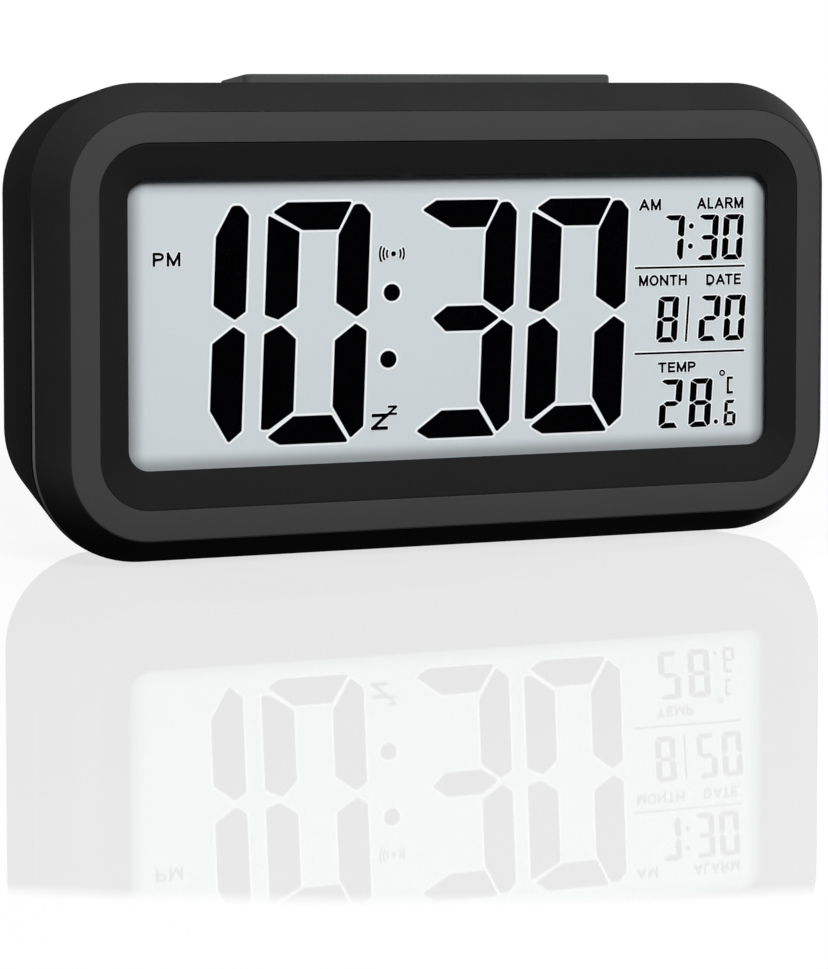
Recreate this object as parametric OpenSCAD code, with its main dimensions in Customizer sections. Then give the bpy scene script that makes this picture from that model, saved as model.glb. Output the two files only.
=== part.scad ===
// Digital desk clock with a wide display, a snooze bar and a battery bay.
// X is to the right, -Y is the display side, Z is up; the feet rest at Z = 0.

/* [Case] */
// width of the case at the parting line
case_w = 135; // [129:0.5:150]
// height of the case at the parting line
case_h = 74.8; // [73:0.2:84]
// corner radius seen from the front
corner_r = 17; // [15:0.5:19]
// height of the case above the desk
base_gap = 0.5; // [0.45:0.05:2]
// depth of the front case
front_depth = 8; // [7.6:0.1:11]
// depth of the rear cover
rear_depth = 36; // [35:0.5:48]
// how far the rear cover narrows on each side
rear_draft = 2.4; // [1.2:0.1:3]
// bevel around the back face
back_chamfer = 2; // [0.8:0.1:2.2]
// wall thickness of both case halves
wall = 2.4; // [2:0.1:2.6]
// height of the lip at the parting line
lip_h = 1.4; // [0.8:0.1:1.8]
// thickness of the lip
lip_t = 1; // [0.8:0.05:1.1]

/* [Face] */
// width of the front bevel
rim_inset = 4.1; // [3.4:0.1:4.6]
// flat edge between the bevel and the trim ring
rim_land = 0.4; // [0.3:0.05:0.8]
// width of the trim ring
ring_w = 4.4; // [3.5:0.1:5]
// how far the trim ring rises to its inner edge
ring_crown = 0.5; // [0.2:0.05:0.8]
// width of the bezel at the sides
bezel_side_w = 4.6; // [4:0.1:6]
// width of the bezel at the top and bottom
bezel_top_w = 6.1; // [5:0.1:7]
// depth of the bezel slope
bezel_drop = 2.1; // [1.2:0.1:2.4]
// thickness of the bezel edge over the window
bezel_lip = 0.4; // [0.3:0.05:0.8]
// corner radius of the window opening
window_r = 3.1; // [1.5:0.1:5]
// thickness of the clear window
window_t = 1.2; // [0.8:0.1:1.5]

/* [Display] */
// thickness of each display glass
glass_t = 1; // [0.7:0.05:1.2]
// thickness of the printed segments
print_t = 0.1; // [0.08:0.02:0.14]
// thickness of the light guide
guide_t = 3; // [2:0.1:3.4]
// height of the time digits
digit_h = 37.8; // [30:0.2:39]
// width of the time digits
digit_w = 16.85; // [14:0.05:17.5]
// width of the upright bars of the time digits
digit_stroke = 5; // [3.5:0.1:5.4]
// lean of the digits in degrees
digit_lean = 2.2; // [0:0.1:4]

/* [Snooze bar] */
// length of the snooze bar
bar_w = 63.2; // [50:0.2:66]
// depth of the snooze bar
bar_d = 16.1; // [14.5:0.1:17]
// distance of the bar behind the parting line
bar_back = 6.2; // [5.8:0.1:7]
// how far the bar stands out of the top
bar_proud = 1.85; // [1.3:0.05:3]
// press travel of the bar
bar_travel = 1.2; // [0.6:0.1:1.4]

/* [Keys] */
// radius of the round keys
key_r = 3.9; // [3:0.1:4.6]
// distance between the keys
key_pitch = 18; // [16.6:0.2:18.6]
// how far the keys stand out of the back
key_proud = 0.5; // [0.3:0.05:1.5]
// press travel of the keys
key_travel = 0.5; // [0.2:0.05:0.7]
// travel of the alarm slider
slider_travel = 3; // [2:0.1:3.6]

/* [Battery bay] */
// radius of a cell
cell_r = 5.15; // [4.8:0.05:5.25]
// length of a cell
cell_l = 44.5; // [42:0.1:45]
// distance between the cells
cell_pitch = 11.2; // [10.9:0.05:11.6]
// height of the middle cell above the desk
bay_height = 28.5; // [27.6:0.1:29.2]

/* [Clearances] */
// gap between bonded or seated pieces
fit_gap = 0.1; // [0.05:0.01:0.15]
// gap around pieces that move
slide_gap = 0.3; // [0.2:0.02:0.4]
// radial gap of pins and plungers in their holes
pin_gap = 0.05; // [0.03:0.01:0.08]

/* [Hidden] */
$fn = 96;

// heights and planes; "e" is the distance in front of the parting line
cy = base_gap + case_h / 2;
top_z = base_gap + case_h;
seam_y = -(rear_depth + key_proud - front_depth - ring_crown) / 2;
ring_inset = rim_inset + rim_land;
bezel_inset = ring_inset + ring_w;
win_x = bezel_inset + bezel_side_w;
win_y = bezel_inset + bezel_top_w;
window_w = case_w - 2 * win_x;
window_h = case_h - 2 * win_y;
bezel_step = 0.2;
bezel_top_e = front_depth + ring_crown - bezel_step;
lip_e = bezel_top_e - bezel_drop;
seat_e = lip_e - bezel_lip;
plate_back_e = seat_e - window_t;
window_lap = 2;
bezel_land = 0.3;

// display stack
window_air = 0.3;
lcd_e = plate_back_e - window_air;
lcd_mid_e = lcd_e - glass_t;
lcd_back_e = lcd_mid_e - glass_t;
guide_back_e = lcd_back_e - guide_t;
sheet_t = 0.3;
tray_front_e = guide_back_e - sheet_t;
tray_t = 1.5;
board_front_e = tray_front_e - tray_t;
board_t = 1.6;
board_back_e = board_front_e - board_t;
glass_side = 1;
glass_over = 2.1;
lcd_w = window_w + 2 * glass_side;
lcd_h = window_h + 2 * glass_over;
ledge = 4;
tray_wall = 1;
tray_w = lcd_w + 2 * fit_gap + 2 * tray_wall;
tray_top = cy + lcd_h / 2 + fit_gap + tray_wall;
tray_low = cy - lcd_h / 2 - ledge - fit_gap - tray_wall;
guide_side = 3.2;
guide_gap = 0.2;
guide_w = lcd_w - 2 * guide_side;
guide_h = lcd_h - 2 * guide_gap;
tray_screw_x = 36;
tray_boss_r = 2.2;
tray_ear_r = 3;
tray_boss_gap = 1;
tray_screw_y = tray_top + tray_boss_r + tray_boss_gap;
hook_x = 30;
hook_w = 8;
hook_t = 1.3;
hook_gap = 0.3;
hook_nib = 0.9;
hook_back_e = board_front_e - fit_gap - hook_t;
tray_post_r = 1.5;
board_screw_x = lcd_w / 2 + fit_gap - tray_post_r;
board_screw_end = 2.6;
board_screw_y = lcd_h / 2 - board_screw_end;
zebra_end = 5;
zebra_side = 1.1;
zebra_gap = 0.2;
led_w = 1.6;
led_h = 4;
led_t = 2.3;
led_gap = 0.3;
board_side = 1;
part_pitch = 8;
chip_r = 8;
chip_t = 1.4;
can_r = 2.5;
can_h = 6.5;
crystal_r = 1.6;
crystal_h = 3.2;
tiny_w = 3;
tiny_h = 1.6;
tiny_t = 0.7;
bead_r = 1.5;
leg_r = 0.25;
leg_l = 10;
lead_stub = 1.5;
lead_r = 0.5;
lead_sag = 2;
lead_bend = 3;
print_w = 108;
print_h = 44.8;
print_spread = [window_w / print_w, window_h / print_h];
print_scale = min(print_spread);

// small screws that hold the boards
small_r = 0.8;
small_hole_r = 1.1;
small_head_r = 1.6;
small_head_t = 1.1;
tip_room = 0.8;
drive_w = 0.5;

// overlap where two moulded shapes grow into each other
weld = 0.4;

// case fasteners
boss_side = 8.1;
boss_x = case_w / 2 - boss_side;
boss_y = 16.5;
boss_r = 2.6;
boss_web = 2;
boss_end = rear_depth - wall - boss_web - fit_gap;
screw_r = 1;
screw_head_r = 2.1;
screw_head_t = 1.5;
screw_grip = 8;
screw_floor = 1.8;
screw_seat = boss_end + fit_gap + screw_floor;
sleeve_r = 3.4;

// rear cover
draft_len = rear_depth - back_chamfer;
draft_angle = atan(rear_draft / draft_len);
back_in = rear_depth - wall;
function draft_at(b) = rear_draft * b / draft_len;
foot_r = 4;
foot_t = 1.2;
foot_recess = 0.8;
foot_wall = 1.1;
foot_side = 21.5;
foot_x = case_w / 2 - foot_side;
foot_front = 9.5;
foot_rear = 8;
foot_back = [foot_front, rear_depth - foot_rear];

// snooze parts, measured along the sloping top
bar_mid = bar_back + bar_d / 2;
bar_r = 1.5;
flange_top = -(wall + fit_gap);
flange_t = 1.2;
flange_lap = 1.3;
pocket_top = -0.2;
pill_t = 1;
pill_r = 2.5;
pill_gap = 0.05;
bar_wall = 1.6;
snooze_room = 1.7;
snooze_top = flange_top - flange_t - bar_travel - snooze_room;
snooze_board_t = 1.2;
snooze_board_d = 12.4;
spring_end = 9.6;
spring_x = bar_w / 2 - spring_end;
spring_r = 2.2;
spring_wire = 0.22;
spring_seat = 0.3;
stub_l = 1.8;
pusher_step = 0.5;
pill_e = snooze_top + bar_travel + pill_gap;
post_r = 2.5;
post_gap = 2.1;
post_x = bar_w / 2 + flange_lap + post_r + post_gap;
pilot_l = 3.5;

// rear keys
key_x = [-2 * key_pitch, -key_pitch, 0, key_pitch];
flange_e = -(back_in - fit_gap);
key_flange_t = 1;
switch_w = 6;
switch_t = 3.5;
switch_gap = 3.6;
switch_e = -(back_in - switch_gap);
key_board_e = switch_e + switch_t;
key_board_t = 1.6;
plunger_r = 1.7;
plunger_in = 0.8;
plunger_out = 0.95;
key_end_e = switch_e - plunger_out;
key_lip = 1.1;
key_stem_r = 1.6;
key_board_h = 12;
key_board_end = 7;
slider_w = 3.6;
slider_x = key_x[3] + key_pitch + slider_w + weld;
slider_h = 2.6;
slider_proud = 0.3;
slider_post = 2;
slider_lap = 1.2;
ribbon_w = 10;
ribbon_t = 0.4;
ribbon_sag = 1.5;
post_shift = 1.5;
post_keys = [key_x[0] + key_pitch / 2, key_x[2] + key_pitch / 2, key_x[3] + key_pitch / 2 + post_shift];

// battery bay
spring_room = 6.7;
bay_half = (cell_l + spring_room) / 2;
bay_lap = 1.7;
bay_wall = 3.4;
bay_half_h = 1.5 * cell_pitch + guide_gap;
cell_e = -(back_in - cell_pitch / 2 - pin_gap);
bay_floor_e = cell_e + cell_pitch / 2;
bay_floor_t = 1.6;
open_half = bay_half + bay_lap;
open_low = bay_height - bay_half_h - bay_lap;
open_top = bay_height + bay_half_h + bay_lap;
door_half = open_half - slide_gap;
hinge_r = wall / 2;
hinge_h = open_low + slide_gap + hinge_r;
hinge_e = -(rear_depth - hinge_r);
door_top = open_top - slide_gap;
pin_r = 0.7;
pin_l = 1.5;
notch_r = 5;
notch_t = 0.9;
nub_r = 1.9;
nub_l = 0.9;
tab_w = 3;
tab_out = 2.5;
contact_w = 8;
coil_r = 2.6;
coil_wire = 0.25;
coil_seat = 0.35;
plate_t = 0.4;
plate_x = bay_half - plate_t - pin_gap;

// rear key row, between the bay and the top wall
key_h = (bay_height + bay_half_h + bay_wall + top_z - wall - rear_draft) / 2;

// buzzer and vent, between the bay and the side walls
side_x = (bay_half + bay_wall + case_w / 2 - wall - rear_draft) / 2;
buzzer_x = -side_x;
buzzer_r = 10;
buzzer_t = 5;
buzzer_wall = 1.2;
buzzer_rim = 3;
hole_r = 0.8;
hole_rings = [3, 6];
vent_x = side_x;
vent_h = 12;
vent_w = 1.4;
vent_pitch = 3.2;

// printed marks, in mm from the middle of the window; a digit's size is its width, height and stroke
time_shown = [1, 0, 3, 0];
time_x = [-51.7, -31.75, -7, 12.5];
time_y = -0.45;
colon_dots = [[-10.74, 3.9], [-11.37, -6.7]];
colon_r = 1.33;
small_lean = 3.5;
alarm_shown = [7, 3, 0];
alarm_x = [36.35, 42.45, 47];
alarm_y = 8;
alarm_size = [3.55, 7.35, 0.75];
date_shown = [8, 2, 0];
date_x = [35.3, 42.5, 47.35];
date_y = -5.4;
date_size = [3.62, 7.45, 0.75];
temp_shown = [2, 8];
temp_x = [35.75, 41.07];
temp_y = -19.55;
temp_size = [3.85, 7.95, 0.8];
tenth_shown = 6;
tenth_x = 47.4;
tenth_size = [2, 4.2, 0.4];
small_dots = [[41.32, 13.6], [41.16, 10.35], [45.9, -18.8]];
small_dot_r = 0.42;
rule_x = [31.2, 51];
rule_y = [6.93, -7.13];
rule_t = 0.32;
date_bar = [[40.35, -5.45], [40.85, 2.08]];

// Basic forms
module rrect(w, h, r) {
    square([w, h - 2 * r], center = true);
    square([w - 2 * r, h], center = true);
    for (sx = [-1, 1], sy = [-1, 1])
        translate([sx * (w / 2 - r), sy * (h / 2 - r)]) circle(r);
}

// rounded block whose four sides lean inward by inset over its depth
module drafted(w, h, r, inset, depth) {
    for (sx = [-1, 1], sy = [-1, 1])
        translate([sx * (w / 2 - r), sy * (h / 2 - r), 0])
            cylinder(h = depth, r1 = r, r2 = r - inset);
    rotate([90, 0, 0]) linear_extrude(h - 2 * r, center = true)
        polygon([[-w / 2, 0], [w / 2, 0], [w / 2 - inset, depth], [-w / 2 + inset, depth]]);
    rotate([90, 0, 90]) linear_extrude(w - 2 * r, center = true)
        polygon([[-h / 2, 0], [h / 2, 0], [h / 2 - inset, depth], [-h / 2 + inset, depth]]);
}

module face_frame() {
    translate([0, seam_y, 0]) rotate([90, 0, 0]) children();
}

// x to the right, y back along the sloping top, z out of it
module top_frame() {
    translate([0, seam_y, top_z]) rotate([-draft_angle, 0, 0]) children();
}

// rounded plate centred on the case, from plane e0 to plane e1
module slab(w, h, r, e0, e1) {
    translate([0, cy, e0]) linear_extrude(e1 - e0) rrect(w, h, r);
}

module block(x0, x1, y0, y1, e0, e1) {
    translate([x0, y0, e0]) cube([x1 - x0, y1 - y0, e1 - e0]);
}

module rod(x, y, e0, e1, r) {
    translate([x, y, e0]) cylinder(h = e1 - e0, r = r);
}

// screw along z: head bottom at e0, shank forward to e1
module screw(x, y, e0, e1, r, head_r, head_t) {
    difference() {
        union() {
            rod(x, y, e0, e1, r);
            rod(x, y, e0 - head_t, e0, head_r);
        }
        for (a = [0, 90])
            translate([x, y, e0 - head_t]) rotate([0, 0, a])
                cube([1.2 * head_r, drive_w, head_t], center = true);
    }
}

// round wire along a path; up is a direction that the path never follows
function unit(v) = v / norm(v);
function ring_at(p, t, up, r, k) = let (n = unit(cross(t, up)), b = cross(n, t))
    [for (i = [0:k - 1]) p + r * (cos(360 * i / k) * n + sin(360 * i / k) * b)];
module wire(path, up, r, k) {
    n = len(path);
    pts = [for (i = [0:n - 1])
        each ring_at(path[i], unit(path[min(i + 1, n - 1)] - path[max(i - 1, 0)]), up, r, k)];
    sides = [for (i = [0:n - 2], j = [0:k - 1])
        [i * k + j, i * k + (j + 1) % k, (i + 1) * k + (j + 1) % k, (i + 1) * k + j]];
    first = [[for (j = [k - 1:-1:0]) j]];
    last = [[for (j = [0:k - 1]) (n - 1) * k + j]];
    polyhedron(points = pts, faces = concat(first, sides, last));
}
function coil(r, turns, l, k) =
    [for (i = [0:turns * k]) [r * cos(360 * i / k), r * sin(360 * i / k), l * i / (turns * k)]];
function least_gap(path, r, k) = min([for (i = [0:len(path) - 1], j = [i + floor(k / 2):1:len(path) - 1])
    norm(path[i] - path[j])]) - 2 * r;

// slack lead from point a to point b, straight at its ends and sagging by s along direction d
function slack(a, b, d, s) = let (u = unit(b - a) * lead_stub, span = b - a - 2 * u)
    concat([a], [for (i = [0:8]) a + u + span * i / 8 + d * s * (1 - cos(45 * i)) / 2], [b]);

// Seven-segment digits
function seg_points(s, w, h, v, o) =
    s == "a" ? [[0.2 * v, h - 0.35 * o], [0.65 * v, h], [w - 0.7 * v, h], [w - 1.1 * v, h - o],
        [1.15 * v, h - o]] :
    s == "b" ? [[w - 0.53 * v, h - 0.14 * o], [w - 0.25 * v, h - 0.14 * o], [w, h - 0.5 * o],
        [w, h / 2 + 0.47 * o], [w - 0.33 * v, h / 2 + 0.18 * o], [w - v, h / 2 + 0.7 * o],
        [w - v, h - 1.22 * o]] :
    s == "c" ? [[w - 0.36 * v, h / 2 - 0.14 * o], [w, h / 2 - 0.38 * o], [w, 0.55 * o],
        [w - 0.4 * v, 0.14 * o], [w - 1.04 * v, 1.3 * o], [w - 1.04 * v, h / 2 - 0.7 * o]] :
    s == "d" ? [[1.06 * v, o], [w - 1.08 * v, o], [w - 0.52 * v, 0], [0.66 * v, 0], [0.26 * v, 0.28 * o]] :
    s == "e" ? [[0.52 * v, h / 2 - 0.1 * o], [v, h / 2 - 0.6 * o], [v, 1.18 * o], [0.26 * v, 0.56 * o],
        [0, 0.56 * o], [0, h / 2 - 0.4 * o]] :
    s == "f" ? [[0, h - 0.5 * o], [v, h - 1.1 * o], [v, h / 2 + 0.63 * o], [0.43 * v, h / 2 + 0.18 * o],
        [0, h / 2 + 0.36 * o]] :
    [[0.67 * v, h / 2 + 0.05 * o], [1.12 * v, h / 2 + 0.45 * o], [w - 1.1 * v, h / 2 + 0.45 * o],
        [w - 0.56 * v, h / 2], [w - 1.1 * v, h / 2 - 0.42 * o], [1.1 * v, h / 2 - 0.42 * o]];
digit_bars = ["abcdef", "bc", "abdeg", "abcdg", "bcfg", "acdfg", "acdefg", "abc", "abcdefg", "abcdfg"];
function lean(points, h, angle) = [for (p = points) [p[0] + (p[1] - h / 2) * tan(angle), p[1]]];

// digit n with its lower left corner at x, y; o is the stroke of the level bars
module digit(n, x, y, size, o, angle) {
    k = print_scale;
    translate([x * print_spread[0], cy + y * print_spread[1], lcd_e]) linear_extrude(print_t)
        for (s = digit_bars[n])
            polygon(lean(seg_points(s, size[0] * k, size[1] * k, size[2] * k, o * k), size[1] * k, angle));
}

module dot(p, r) {
    rod(p[0] * print_spread[0], cy + p[1] * print_spread[1], lcd_e, lcd_e + print_t, r * print_scale);
}

module stroke(a, b, t) {
    d = unit([a[1] - b[1], b[0] - a[0]]) * t / 2;
    translate([0, cy, lcd_e]) linear_extrude(print_t)
        polygon([for (p = [a + d, b + d, b - d, a - d]) [p[0] * print_spread[0], p[1] * print_spread[1]]]);
}

// Front
module front_case() color([0.06, 0.06, 0.065]) face_frame() {
    plate_w = window_w + 2 * window_lap + 2 * fit_gap;
    plate_h = window_h + 2 * window_lap + 2 * fit_gap;
    difference() {
        union() {
            difference() {
                translate([0, cy, 0]) drafted(case_w, case_h, corner_r, rim_inset, front_depth);
                slab(case_w - 2 * ring_inset + 2 * fit_gap, case_h - 2 * ring_inset + 2 * fit_gap,
                    corner_r - ring_inset + fit_gap, seat_e, front_depth + 1);
                translate([0, cy, -0.01]) drafted(case_w - 2 * wall, case_h - 2 * wall, corner_r - wall,
                    rim_inset * plate_back_e / front_depth, plate_back_e + 0.01);
                slab(case_w - 2 * (wall - lip_t), case_h - 2 * (wall - lip_t), corner_r - wall + lip_t,
                    -1, lip_h + fit_gap);
                slab(plate_w, plate_h, window_r + window_lap + fit_gap, plate_back_e - 1, seat_e + 1);
            }
            for (sx = [-1, 1], sy = [-1, 1])
                rod(sx * boss_x, cy + sy * boss_y, -boss_end, plate_back_e + weld, boss_r);
            for (sx = [-1, 1]) {
                rod(sx * tray_screw_x, tray_screw_y, tray_front_e, plate_back_e + weld, tray_boss_r);
                translate([sx * hook_x - hook_w / 2, tray_low - hook_gap - hook_t, hook_back_e]) {
                    cube([hook_w, hook_t, plate_back_e + weld - hook_back_e]);
                    cube([hook_w, hook_t + hook_gap + hook_nib, hook_t]);
                }
            }
        }
        for (sx = [-1, 1], sy = [-1, 1])
            rod(sx * boss_x, cy + sy * boss_y, -boss_end - 1, -boss_end + screw_grip + 1, screw_r + pin_gap);
        for (sx = [-1, 1])
            rod(sx * tray_screw_x, tray_screw_y, tray_front_e - 1, plate_back_e - tip_room,
                small_r + pin_gap);
    }
}

module trim_ring() color([0.27, 0.275, 0.28]) face_frame() difference() {
    union() {
        slab(case_w - 2 * ring_inset, case_h - 2 * ring_inset, corner_r - ring_inset, seat_e, front_depth);
        translate([0, cy, front_depth]) drafted(case_w - 2 * ring_inset, case_h - 2 * ring_inset,
            corner_r - ring_inset, ring_w, ring_crown);
    }
    slab(case_w - 2 * bezel_inset + 0.01, case_h - 2 * bezel_inset + 0.01, corner_r - bezel_inset + 0.005,
        seat_e - 1, front_depth + ring_crown + 1);
}

module display_bezel() color([0.13, 0.13, 0.135]) face_frame() {
    outer = bezel_inset + fit_gap;
    edge = outer + bezel_land;
    difference() {
        slab(case_w - 2 * outer, case_h - 2 * outer, corner_r - outer, seat_e, bezel_top_e);
        hull() {
            slab(window_w, window_h, window_r, lip_e, lip_e + 0.01, $fn = 64);
            slab(case_w - 2 * edge, case_h - 2 * edge, corner_r - edge, bezel_top_e, bezel_top_e + 1,
                $fn = 64);
        }
        slab(window_w, window_h, window_r, seat_e - 1, lip_e + 0.01, $fn = 64);
    }
}

module display_window() color([0.75, 0.8, 0.82, 0.4]) face_frame()
    slab(window_w + 2 * window_lap, window_h + 2 * window_lap, window_r + window_lap, plate_back_e, seat_e);

// Display
module lcd_front_glass() color([0.75, 0.79, 0.79]) face_frame()
    block(-lcd_w / 2, lcd_w / 2, cy - lcd_h / 2, cy + lcd_h / 2, lcd_mid_e, lcd_e);

module lcd_rear_glass() color([0.7, 0.75, 0.76]) face_frame()
    block(-lcd_w / 2, lcd_w / 2, cy - lcd_h / 2 - ledge, cy + lcd_h / 2, lcd_back_e, lcd_mid_e);

module lcd_time_digits() color([0.02, 0.02, 0.02]) face_frame() {
    for (i = [0:3])
        digit(time_shown[i], time_x[i], time_y - digit_h / 2, [digit_w, digit_h, digit_stroke],
            0.85 * digit_stroke, digit_lean);
    for (p = colon_dots) dot(p, colon_r);
}

module lcd_small_digits() color([0.02, 0.02, 0.02]) face_frame() {
    for (i = [0:2]) digit(alarm_shown[i], alarm_x[i], alarm_y, alarm_size, alarm_size[2], small_lean);
    for (i = [0:2]) digit(date_shown[i], date_x[i], date_y, date_size, date_size[2], small_lean);
    for (i = [0:1]) digit(temp_shown[i], temp_x[i], temp_y, temp_size, temp_size[2], small_lean);
    digit(tenth_shown, tenth_x, temp_y, tenth_size, tenth_size[2], small_lean);
    for (p = small_dots) dot(p, small_dot_r);
    for (y = rule_y) stroke([rule_x[0], y], [rule_x[1], y], rule_t);
    stroke(date_bar[0], date_bar[1], rule_t);
}

module light_guide() color([0.9, 0.93, 0.95]) face_frame()
    block(-guide_w / 2, guide_w / 2, cy - guide_h / 2, cy + guide_h / 2, guide_back_e, lcd_back_e);

module reflector_sheet() color([0.95, 0.95, 0.95]) face_frame()
    block(-guide_w / 2, guide_w / 2, cy - guide_h / 2, cy + guide_h / 2, tray_front_e, guide_back_e);

module backlight_leds() color([0.95, 0.93, 0.75]) face_frame()
    for (sx = [-1, 1])
        translate([sx * (guide_w / 2 + led_gap + led_w / 2) - led_w / 2, cy - led_h / 2, tray_front_e])
            cube([led_w, led_h, led_t]);

module lcd_tray() color([0.92, 0.92, 0.9]) face_frame() {
    in_w = tray_w / 2 - tray_wall;
    difference() {
        union() {
            block(-tray_w / 2, tray_w / 2, tray_low, tray_top, board_front_e, plate_back_e - fit_gap);
            for (sx = [-1, 1]) {
                block(sx * tray_screw_x - tray_ear_r, sx * tray_screw_x + tray_ear_r, tray_top - tray_wall,
                    tray_screw_y, board_front_e, tray_front_e);
                rod(sx * tray_screw_x, tray_screw_y, board_front_e, tray_front_e, tray_ear_r);
            }
        }
        difference() {
            block(-in_w, in_w, tray_low + tray_wall, tray_top - tray_wall, tray_front_e, plate_back_e + 1);
            for (sx = [-1, 1], sy = [-1, 1])
                rod(sx * board_screw_x, cy + sy * board_screw_y, tray_front_e - 1, lcd_back_e - fit_gap,
                    tray_post_r);
        }
        zebra(zebra_gap, board_front_e - 1, tray_front_e + 1);
        for (sx = [-1, 1])
            rod(sx * tray_screw_x, tray_screw_y, board_front_e - 1, tray_front_e + 1, small_hole_r);
        for (sx = [-1, 1], sy = [-1, 1])
            rod(sx * board_screw_x, cy + sy * board_screw_y, board_front_e - 1, lcd_back_e - tip_room,
                small_r + pin_gap);
    }
}

module tray_screws() color([0.7, 0.7, 0.72]) face_frame()
    for (sx = [-1, 1])
        screw(sx * tray_screw_x, tray_screw_y, board_front_e, plate_back_e - 2 * tip_room, small_r,
            small_head_r, small_head_t);

// contact strip under the ledge of the rear glass, or its slot
module zebra(gap, e0, e1) {
    half_w = lcd_w / 2 - zebra_end + gap;
    low = cy - lcd_h / 2 - ledge + zebra_side - gap;
    block(-half_w, half_w, low, low + ledge - 2 * zebra_side + 2 * gap, e0, e1);
}
module zebra_strip() color([0.3, 0.3, 0.32]) face_frame() zebra(0, board_front_e, lcd_back_e);

// Electronics
module main_board() color([0.1, 0.35, 0.18]) face_frame() difference() {
    block(-tray_w / 2 + board_side, tray_w / 2 - board_side, tray_low + hook_nib + hook_gap,
        tray_top - board_side, board_back_e, board_front_e);
    for (sx = [-1, 1], sy = [-1, 1])
        rod(sx * board_screw_x, cy + sy * board_screw_y, board_back_e - 1, board_front_e + 1, small_hole_r);
}

module board_screws() color([0.7, 0.7, 0.72]) face_frame()
    for (sx = [-1, 1], sy = [-1, 1])
        screw(sx * board_screw_x, cy + sy * board_screw_y, board_back_e, lcd_back_e - 1.5 * tip_room, small_r,
            small_head_r, small_head_t);

module board_parts() color([0.12, 0.12, 0.13]) face_frame() translate([0, cy, board_back_e]) {
    translate([0, -chip_t, -chip_t]) cylinder(h = chip_t, r1 = 0.75 * chip_r, r2 = chip_r);
    for (i = [3, 4]) rod(i * part_pitch, 2 * part_pitch, -can_h, 0, can_r);
    rod(-4 * part_pitch, 2 * part_pitch, -crystal_h, 0, crystal_r);
    block(2 * part_pitch, 3 * part_pitch, -2 * part_pitch, -part_pitch, -chip_t, 0);
    for (i = [0:4])
        translate([-(5 - i) * part_pitch, -2 * part_pitch - tiny_h, -tiny_t]) cube([tiny_w, tiny_h, tiny_t]);
}

module temperature_sensor() color([0.15, 0.15, 0.17]) face_frame() translate([vent_x, cy, board_back_e]) {
    for (sx = [-1, 1]) rod(sx * bead_r / 2, 0, -leg_l, 0, leg_r);
    rod(0, 0, -leg_l - 2 * bead_r, -leg_l + leg_r, bead_r);
}

// Snooze
module bar_outline(grow) {
    translate([0, bar_mid]) rrect(bar_w + 2 * grow, bar_d + 2 * grow, bar_r + max(grow, 0));
}

module snooze_bar() color([0.22, 0.22, 0.225]) top_frame() {
    difference() {
        union() {
            translate([0, 0, flange_top - flange_t]) linear_extrude(bar_proud - flange_top + flange_t)
                bar_outline(0);
            translate([0, 0, flange_top - flange_t]) linear_extrude(flange_t) bar_outline(flange_lap);
        }
        translate([0, bar_mid, flange_top - flange_t - 1])
            linear_extrude(pocket_top - flange_top + flange_t + 1)
                rrect(bar_w - 2 * bar_wall, bar_d - 2 * bar_wall, bar_r / 2);
    }
    rod(0, bar_mid, pill_e + pill_t, pocket_top + weld, pill_r - pusher_step);
    for (sx = [-1, 1])
        rod(sx * spring_x, bar_mid, pocket_top - stub_l, pocket_top + weld,
            spring_r - spring_wire - pusher_step);
}

module snooze_pill() color([0.05, 0.05, 0.05]) top_frame()
    rod(0, bar_mid, pill_e, pill_e + pill_t, pill_r);

module snooze_springs() color([0.75, 0.75, 0.77]) top_frame() {
    path = coil(spring_r, 5, pocket_top - snooze_top - 2 * spring_seat, 8);
    echo(snooze_spring_gap = least_gap(path, spring_wire, 8));
    for (sx = [-1, 1])
        translate([sx * spring_x, bar_mid, snooze_top + spring_seat]) wire(path, [0, 0, 1], spring_wire, 6);
}

module snooze_board() color([0.1, 0.35, 0.18]) top_frame() difference() {
    translate([0, bar_mid, snooze_top - snooze_board_t]) linear_extrude(snooze_board_t)
        square([2 * post_x + 2.8 * post_r, snooze_board_d], center = true);
    for (sx = [-1, 1])
        rod(sx * post_x, bar_mid, snooze_top - snooze_board_t - 1, snooze_top + 1, small_hole_r);
}

module snooze_screws() color([0.7, 0.7, 0.72]) top_frame()
    for (sx = [-1, 1])
        screw(sx * post_x, bar_mid, snooze_top - snooze_board_t, snooze_top + pilot_l - tip_room, small_r,
            small_head_r, small_head_t);

module snooze_leads() color([0.6, 0.1, 0.1]) {
    b0 = bar_mid - snooze_board_d / 2 + lead_bend;
    n0 = snooze_top - snooze_board_t;
    y0 = seam_y + b0 * cos(draft_angle) + n0 * sin(draft_angle);
    z0 = top_z - b0 * sin(draft_angle) + n0 * cos(draft_angle);
    y1 = seam_y - board_back_e;
    for (x = [-part_pitch / 2, part_pitch / 2])
        wire(concat([[x, y0, z0 - pill_gap], [x, y0, z0 - lead_bend]],
            [for (a = [30, 60, 90])
                [x, y0 - lead_bend + lead_bend * cos(a), z0 - lead_bend - lead_bend * sin(a)]],
            [[x, y1, z0 - 2 * lead_bend]]), [1, 0, 0], lead_r, 8);
}

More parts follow.
